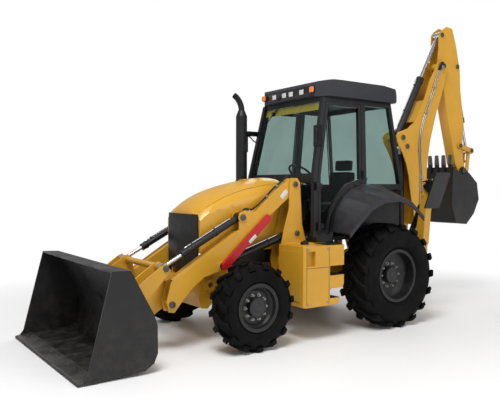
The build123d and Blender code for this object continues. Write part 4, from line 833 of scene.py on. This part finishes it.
class LOADER_OT_steps(bpy.types.Operator):
    """Makes the anti-slip pads with their studs, the bolts and seams of the step boxes, and the tank's cap"""
    bl_idname = "loader.make_steps"
    bl_label = "Steps"

    def execute(self, context):
        grip, trim, dark = bmesh.new(), bmesh.new(), bmesh.new()
        for _, side in SIDES:
            for rear, front, inner, outer, z, first, end, pitch in STEP_PADS:
                block(grip, (rear, inner, z), (front, outer, z + 5), 0.002, side=side)
                edge = min(side * inner, side * outer)
                for x in range(first, end, STUD_PITCH):
                    for k in range(STUDS):
                        y = edge + STUD_MARGIN + pitch * k
                        bar(grip, spot(x, y, z + 4), spot(x, y, z + 9), 0.006, 8, 0.001)
            for x0, x1, z0, z1 in ((1136, 1140, 420, 1070), (1140, 1470, 838, 842), (1466, 1470, 420, 1070)):
                block(dark, (x0, 1048.5, z0), (x1, 1052, z1), 0.0005, side=side)
            for x, z in ((1160, 1050), (1450, 1050), (1160, 440), (1450, 440)):
                bolt(trim, spot(x, side * 1050, z), Vector((0, side, 0)), (-0.001, 0.003, 0.013, 16, 0.001),
                     (0.002, 0.010, 0.0085, 6, 0.001))
        keep_piece("step_grips", grip, "black_grip")
        keep_piece("step_bolts", trim, "zinc", "machine")
        keep_piece("step_seams", dark, "gloss_black")
        cap = bmesh.new()
        turned(cap, [(0.0, 0.046), (0.022, 0.046), (0.03, 0.040), (0.034, 0.034), (0.034, 0.001)],
               spot(1402, 930, 1099), Vector((0, 0, 1)), 32)
        block(cap, (1386, 922, 1130), (1418, 938, 1146), 0.004)
        keep_piece("tank_cap", cap, "interior_plastic")
        return {"FINISHED"}


# Painted shade: route of a dark line along the crease on each side of the hood as (x, z), and y of where a ray
# towards the hood starts
BESIDE_HOOD = 600
HOOD_CREASE_SHADE = ((2420, 1462), (2354, 1502), (2302, 1536), (2218, 1577), (2150, 1607), (2082, 1633), (2000, 1661),
             (1921, 1685), (1836, 1706), (1750, 1725), (1686, 1737), (1623, 1748), (1559, 1758), (1495, 1767),
             (1420, 1776), (1340, 1784), (1260, 1790), (1222, 1792))


class LOADER_OT_hood(bpy.types.Operator):
    """Makes a dark line along the crease on each side of the hood, painted shade where it folds"""
    bl_idname = "loader.make_hood_seam"
    bl_label = "Hood crease shade"

    def execute(self, context):
        hood = frame["nodes"]["hood"]
        for word, side in SIDES:
            # ray_cast gives whether it hits, and then the place
            route = [hood.ray_cast(spot(x, side * BESIDE_HOOD, z), Vector((0, -side, 0)))[1] for x, z in HOOD_CREASE_SHADE]
            # A thin gloss black tube laid along the crease: painted shade where the hood folds
            run_tube(f"hood_seam_{word}", route, 0.0025, "gloss_black", "hood")
        return {"FINISHED"}


class LOADER_OT_labels(bpy.types.Operator):
    """Makes the blank plates on the arm and the strut"""
    bl_idname = "loader.make_labels"
    bl_label = "Blank plates"

    def execute(self, context):
        plates = bmesh.new()
        # columns: middle as (x, z), y of the face, direction of the long side, length and width
        for middle, face, way, length, width in (((1405, 1662), 560, (0.72, -0.69), 120, 58),
                                                 ((1890, 1162), 610, (0.756, -0.654), 118, 40)):
            rise = (-way[1], way[0])
            corners = [spot(middle[0] + way[0] * a + rise[0] * b, face, middle[1] + way[1] * a + rise[1] * b)
                       for a, b in ((-length / 2, -width / 2), (length / 2, -width / 2),
                                    (length / 2, width / 2), (-length / 2, width / 2))]
            prism(plates, corners, Vector((0, 0.001, 0)), 0.0003)
        keep_piece("blank_plates", plates, "plain_label", "loader_arms")
        return {"FINISHED"}


class LOADER_OT_bucket_edge(bpy.types.Operator):
    """Makes the bolted wear plates of the loader bucket and the wear tips of the backhoe bucket's teeth"""
    bl_idname = "loader.make_bucket_edge"
    bl_label = "Bucket edges"

    def execute(self, context):
        edge = bmesh.new()
        outline = [(3872, 45.5), (3878, 52.5), (4040, 33), (4052, 25.5), (4040, 25.3)]
        for y0, y1 in ((-1058, -358), (-354, 354), (358, 1058)):
            side_prism(edge, outline, y0, y1, 0.001)
            for k in range(4):
                y = y0 + 80 + (y1 - y0 - 160) * k / 3
                bar(edge, spot(3930, y, 42), spot(3931.2, y, 50), 0.016, 20, 0.001)
                bar(edge, spot(3931, y, 49), spot(3931.3, y, 51.5), 0.008, 4, 0)
        keep_piece("bucket_wear_plates", edge, "steel_worn", "loader_bucket")
        tips = bmesh.new()
        tip = [(-2096, 2102), (-2070, 2238), (-2062, 2245.5), (-2054, 2238), (-2046, 2102)]
        for y in (-255, -128, 0, 128, 255):
            side_prism(tips, tip, y - 31, y + 31, 0.003)
            for end in (-33, 33):
                bar(tips, spot(-2072, y, 2128), spot(-2072, y + end, 2128), 0.011, 16, 0.001)
        keep_piece("tooth_tips", tips, "steel_worn", "hoe_bucket")
        return {"FINISHED"}


# The seat's sewn channels, as shares of its half width
CHANNELS = (-0.5, 0.5)


def cushion(form, low, high, crown, up):
    """A padded block: rounded, crowned on one side and pressed in along sewn channels, added to a bmesh."""
    size, middle = high - low, (high + low) / 2
    made = bmesh.ops.create_cube(form, size=1, matrix=Matrix.Translation(middle) @ Matrix.Diagonal((*size, 1)))
    bmesh.ops.subdivide_edges(form, edges=edges_at(made["verts"]), cuts=14, use_grid_fill=True)
    for vert in form.verts:
        place = vert.co - middle
        share = [abs(place[k]) * 2 / size[k] for k in range(3)]
        pull = 1 - 0.055 * sum(max(0.0, part - 0.55) ** 2 for part in share) * 2.2
        vert.co = middle + place * pull
        if place[up] > 0:
            a, b = [k for k in range(3) if k != up]
            rise = crown * (1 - share[a] ** 2) * (1 - share[b] ** 2)
            dent = sum(0.010 * math.exp(-((channel - place[1] * 2 / size[1]) / 0.05) ** 2) for channel in CHANNELS)
            vert.co[up] += rise - dent * (1 - share[a] ** 8)
    bmesh.ops.smooth_vert(form, verts=form.verts, factor=0.5, use_axis_x=True, use_axis_y=True, use_axis_z=True)


class LOADER_OT_seat(bpy.types.Operator):
    """Makes the operator's seat: cushion, back, arm rests and sprung base"""
    bl_idname = "loader.make_seat"
    bl_label = "Seat"

    def execute(self, context):
        # columns: name, two corners, crown in metres, axis that it rises along, lean in radians
        for name, low, high, crown, up, lean in (
                ("seat_cushion", (-34, -228, 1436), (394, 228, 1532), 0.014, 2, 0),
                ("seat_back", (-58, -216, 1540), (40, 216, 1960), 0.012, 0, -0.09),
                ("seat_headrest", (-70, -140, 1975), (12, 140, 2118), 0.008, 0, -0.09)):
            form = bmesh.new()
            cushion(form, spot(*low), spot(*high), crown, up)
            if lean:
                bmesh.ops.rotate(form, verts=form.verts, cent=spot(0, 0, 1540), matrix=Matrix.Rotation(lean, 3, "Y"))
            piece = keep_piece(name, form, "seat_fabric", "machine", 70)
            smooth = piece.modifiers.new("smooth", "SUBSURF")
            smooth.levels = smooth.render_levels = 1
        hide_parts("seat")
        base = bmesh.new()
        block(base, (62, -128, 1131), (278, 128, 1150), 0.006)
        for k in range(6):
            shrink = 6 if k % 2 else 0
            block(base, (72 + shrink, -120 + shrink, 1150 + 46 * k), (268 - shrink, 120 - shrink, 1198 + 46 * k),
                  0.012, 3)
        block(base, (-20, -210, 1420), (380, 210, 1440), 0.006)
        for side in (1, -1):
            block(base, (-26, 192, 1652), (286, 234, 1688), 0.012, 4, side)
        keep_piece("seat_base", base, "interior_plastic")
        return {"FINISHED"}


# Levers as foot and knob: two beside the seat, two on the console, and four behind the seat for the backhoe
LEVERS = (
    ((330, -262, 1560), (350, -262, 1800)), ((250, -262, 1560), (262, -266, 1760)),
    ((840, 90, 1690), (790, 210, 1830)), ((840, -90, 1690), (800, -200, 1830)),
    ((-300, 120, 1560), (-270, 120, 1900)), ((-300, -120, 1560), (-270, -120, 1900)),
    ((-300, 220, 1560), (-280, 225, 1860)), ((-300, -220, 1560), (-280, -225, 1860)),
)


class LOADER_OT_controls(bpy.types.Operator):
    """Makes the levers with their knobs and boots, and the two boxes that they stand on"""
    bl_idname = "loader.make_controls"
    bl_label = "Cab controls"

    def execute(self, context):
        levers, knobs = bmesh.new(), bmesh.new()
        for foot, knob in LEVERS:
            bar(levers, spot(*foot), spot(*knob), 0.007, 12)
            bmesh.ops.create_uvsphere(knobs, u_segments=20, v_segments=12, radius=0.021,
                                      matrix=Matrix.Translation(spot(*knob)))
        for (x, y, _), _ in LEVERS[:2]:
            bar(levers, spot(x, y, 1550), spot(x, y, 1585), 0.030, 20, 0.006, 0.014)
        block(levers, (180, -300, 1290), (400, -246, 1560), 0.014, 3)
        block(levers, (-350, -280, 1131), (-240, 280, 1560), 0.018, 3)
        keep_piece("cab_levers", levers, "interior_plastic")
        keep_piece("cab_knobs", knobs, "gloss_black")
        return {"FINISHED"}


# Cab's side: y and z of its foot, and its lean in degrees
CAB_SIDE_Y, CAB_SIDE_Z, CAB_LEAN = 742, 1110, 4.2


def side_face(z):
    """Y of the cab's leaning side at a height."""
    return CAB_SIDE_Y - (z - CAB_SIDE_Z) * math.tan(math.radians(CAB_LEAN))


# Height of a door handle's middle, and the grab rail's route as (x, z)
HANDLE_Z = 1905
GRAB_RAIL = ((1062, 1240), (1092, 1250), (1100, 1330), (1086, 1600), (1070, 1780), (1046, 1800))


class LOADER_OT_handles(bpy.types.Operator):
    """Makes the door handles and the grab rails"""
    bl_idname = "loader.make_handles"
    bl_label = "Handles and rails"

    def execute(self, context):
        y = side_face(HANDLE_Z)
        for word, side in SIDES:
            lever = bmesh.new()
            block(lever, (243, y - 2, 1845), (268, y + 12, 1965), 0.004, side=side)
            for z in (1868, 1930):
                block(lever, (246, y + 12, z), (264, y + 34, z + 14), 0.003, side=side)
            block(lever, (245, y + 26, 1860), (265, y + 40, 1952), 0.005, 3, side)
            keep_piece(f"door_handle_{word}", lever, "interior_plastic", f"door_{word}")
            rail = [(x, side_face(z) - 22, z) for x, z in GRAB_RAIL]
            side_tube(f"grab_rail_{word}", rail, side, 0.011, "cab_black")
        return {"FINISHED"}


# Camera of the photograph: place in the frame's metres, heading, pitch and roll in radians, lens in millimetres
CAMERA_AT = Vector((5.2187, 6.2020, 1.7446))
CAMERA_HEADING, CAMERA_PITCH, CAMERA_ROLL = -2.1785, -0.0302, 0.0022
CAMERA_LENS, CAMERA_SENSOR = 43.886, 36
# The floor turns white from this many metres out, and by this share of the way with each metre
FADE_FROM, FADE_RATE = 3.5, 0.4
# Strength of the white world for light, and what is added to it where the camera sees it
SKY_LIGHT, SKY_MORE_SEEN = 0.45, 0.55
# columns: name, place, aim, width, power
LAMPS = (("key", (5.0, 4.0, 9.0), (0.4, 0, 1.2), 4.0, 780), ("fill", (-3.0, 9.0, 5.0), (-0.8, 0, 1.2), 6.0, 200),
         ("back", (-6.0, -6.0, 7.0), (0, 0, 1.5), 5.0, 260))


def make_floor():
    """A wide floor that fades to white."""
    form = bmesh.new()
    bmesh.ops.create_grid(form, x_segments=1, y_segments=1, size=60)
    floor = add_object("floor", to_mesh("floor", form))
    paint, tree, shader = plain_shader("floor_paint")
    set_inputs(tree, shader, Base_Color=(0.93, 0.93, 0.93, 1), Roughness=0.45)
    reach = add_node(tree, "VectorMath")
    reach.operation = "LENGTH"
    feed(tree, reach.inputs[0], object_place(tree))
    fade = maths(tree, "MULTIPLY", maths(tree, "SUBTRACT", reach.outputs["Value"], FADE_FROM), FADE_RATE)
    fade.node.use_clamp = True
    mixed = add_node(tree, "MixShader", Fac=fade)
    feed(tree, mixed.inputs[1], shader.outputs["BSDF"])
    feed(tree, mixed.inputs[2], add_node(tree, "Emission").outputs["Emission"])
    set_inputs(tree, tree.nodes["Material Output"], Surface=mixed.outputs["Shader"])
    floor.data.materials.append(paint)


class LOADER_OT_stage(bpy.types.Operator):
    """Makes the floor, the soft lights and the camera"""
    bl_idname = "loader.make_stage"
    bl_label = "Stage"

    def execute(self, context):
        scene = context.scene
        camera = add_object("camera", bpy.data.cameras.new("camera"))
        camera.data.lens = CAMERA_LENS
        camera.data.sensor_width = CAMERA_SENSOR
        camera.location = CAMERA_AT
        ahead = Vector((math.cos(CAMERA_HEADING) * math.cos(CAMERA_PITCH),
                        math.sin(CAMERA_HEADING) * math.cos(CAMERA_PITCH), math.sin(CAMERA_PITCH)))
        turn = ahead.to_track_quat("-Z", "Y").to_matrix().to_4x4() @ Matrix.Rotation(CAMERA_ROLL, 4, "Z")
        camera.rotation_euler = turn.to_euler()
        scene.camera = camera
        make_floor()
        sky = bpy.data.worlds.new("studio")
        sky.use_nodes = True
        tree = sky.node_tree
        seen = maths(tree, "MULTIPLY", add_node(tree, "LightPath").outputs["Is Camera Ray"], SKY_MORE_SEEN)
        set_inputs(tree, tree.nodes["Background"], Color=(1, 1, 1, 1), Strength=maths(tree, "ADD", seen, SKY_LIGHT))
        scene.world = sky
        for name, place, aim, size, power in LAMPS:
            lamp = add_object(name, bpy.data.lights.new(name, "AREA"))
            lamp.data.size = size
            lamp.data.energy = power
            lamp.location = place
            lamp.rotation_euler = (Vector(aim) - Vector(place)).to_track_quat("-Z", "Y").to_euler()
        scene.view_settings.view_transform = "Standard"
        return {"FINISHED"}


OPERATORS = (LOADER_OT_stage, LOADER_OT_frame, LOADER_OT_wheels, LOADER_OT_roof_lamps, LOADER_OT_windows,
             LOADER_OT_mirrors, LOADER_OT_pins, LOADER_OT_hydraulics, LOADER_OT_hood, LOADER_OT_steps,
             LOADER_OT_labels, LOADER_OT_bucket_edge, LOADER_OT_seat, LOADER_OT_controls, LOADER_OT_handles)


class LOADER_PT_panel(bpy.types.Panel):
    """Lists the pieces of the loader"""
    bl_label = "Loader"
    bl_idname = "LOADER_PT_panel"
    bl_space_type = "VIEW_3D"
    bl_region_type = "UI"
    bl_category = "Loader"

    def draw(self, context):
        column = self.layout.column()
        for group in (context.scene.loader_sizes, context.scene.loader_colours):
            for key in group.bl_rna.properties.keys():
                if key not in ("rna_type", "name"):
                    column.prop(group, key)
        for operator in OPERATORS:
            column.operator(operator.bl_idname)


CLASSES = (LoaderSizes, LoaderColours, *OPERATORS, LOADER_PT_panel)


def register():
    for part in CLASSES:
        bpy.utils.register_class(part)
    bpy.types.Scene.loader_sizes = bpy.props.PointerProperty(type=LoaderSizes)
    bpy.types.Scene.loader_colours = bpy.props.PointerProperty(type=LoaderColours)


def unregister():
    del bpy.types.Scene.loader_sizes
    del bpy.types.Scene.loader_colours
    for part in reversed(CLASSES):
        bpy.utils.unregister_class(part)


def main():
    register()
    for operator in OPERATORS:
        group, name = operator.bl_idname.split(".")
        getattr(getattr(bpy.ops, group), name)()


if __name__ == "__main__":
    main()
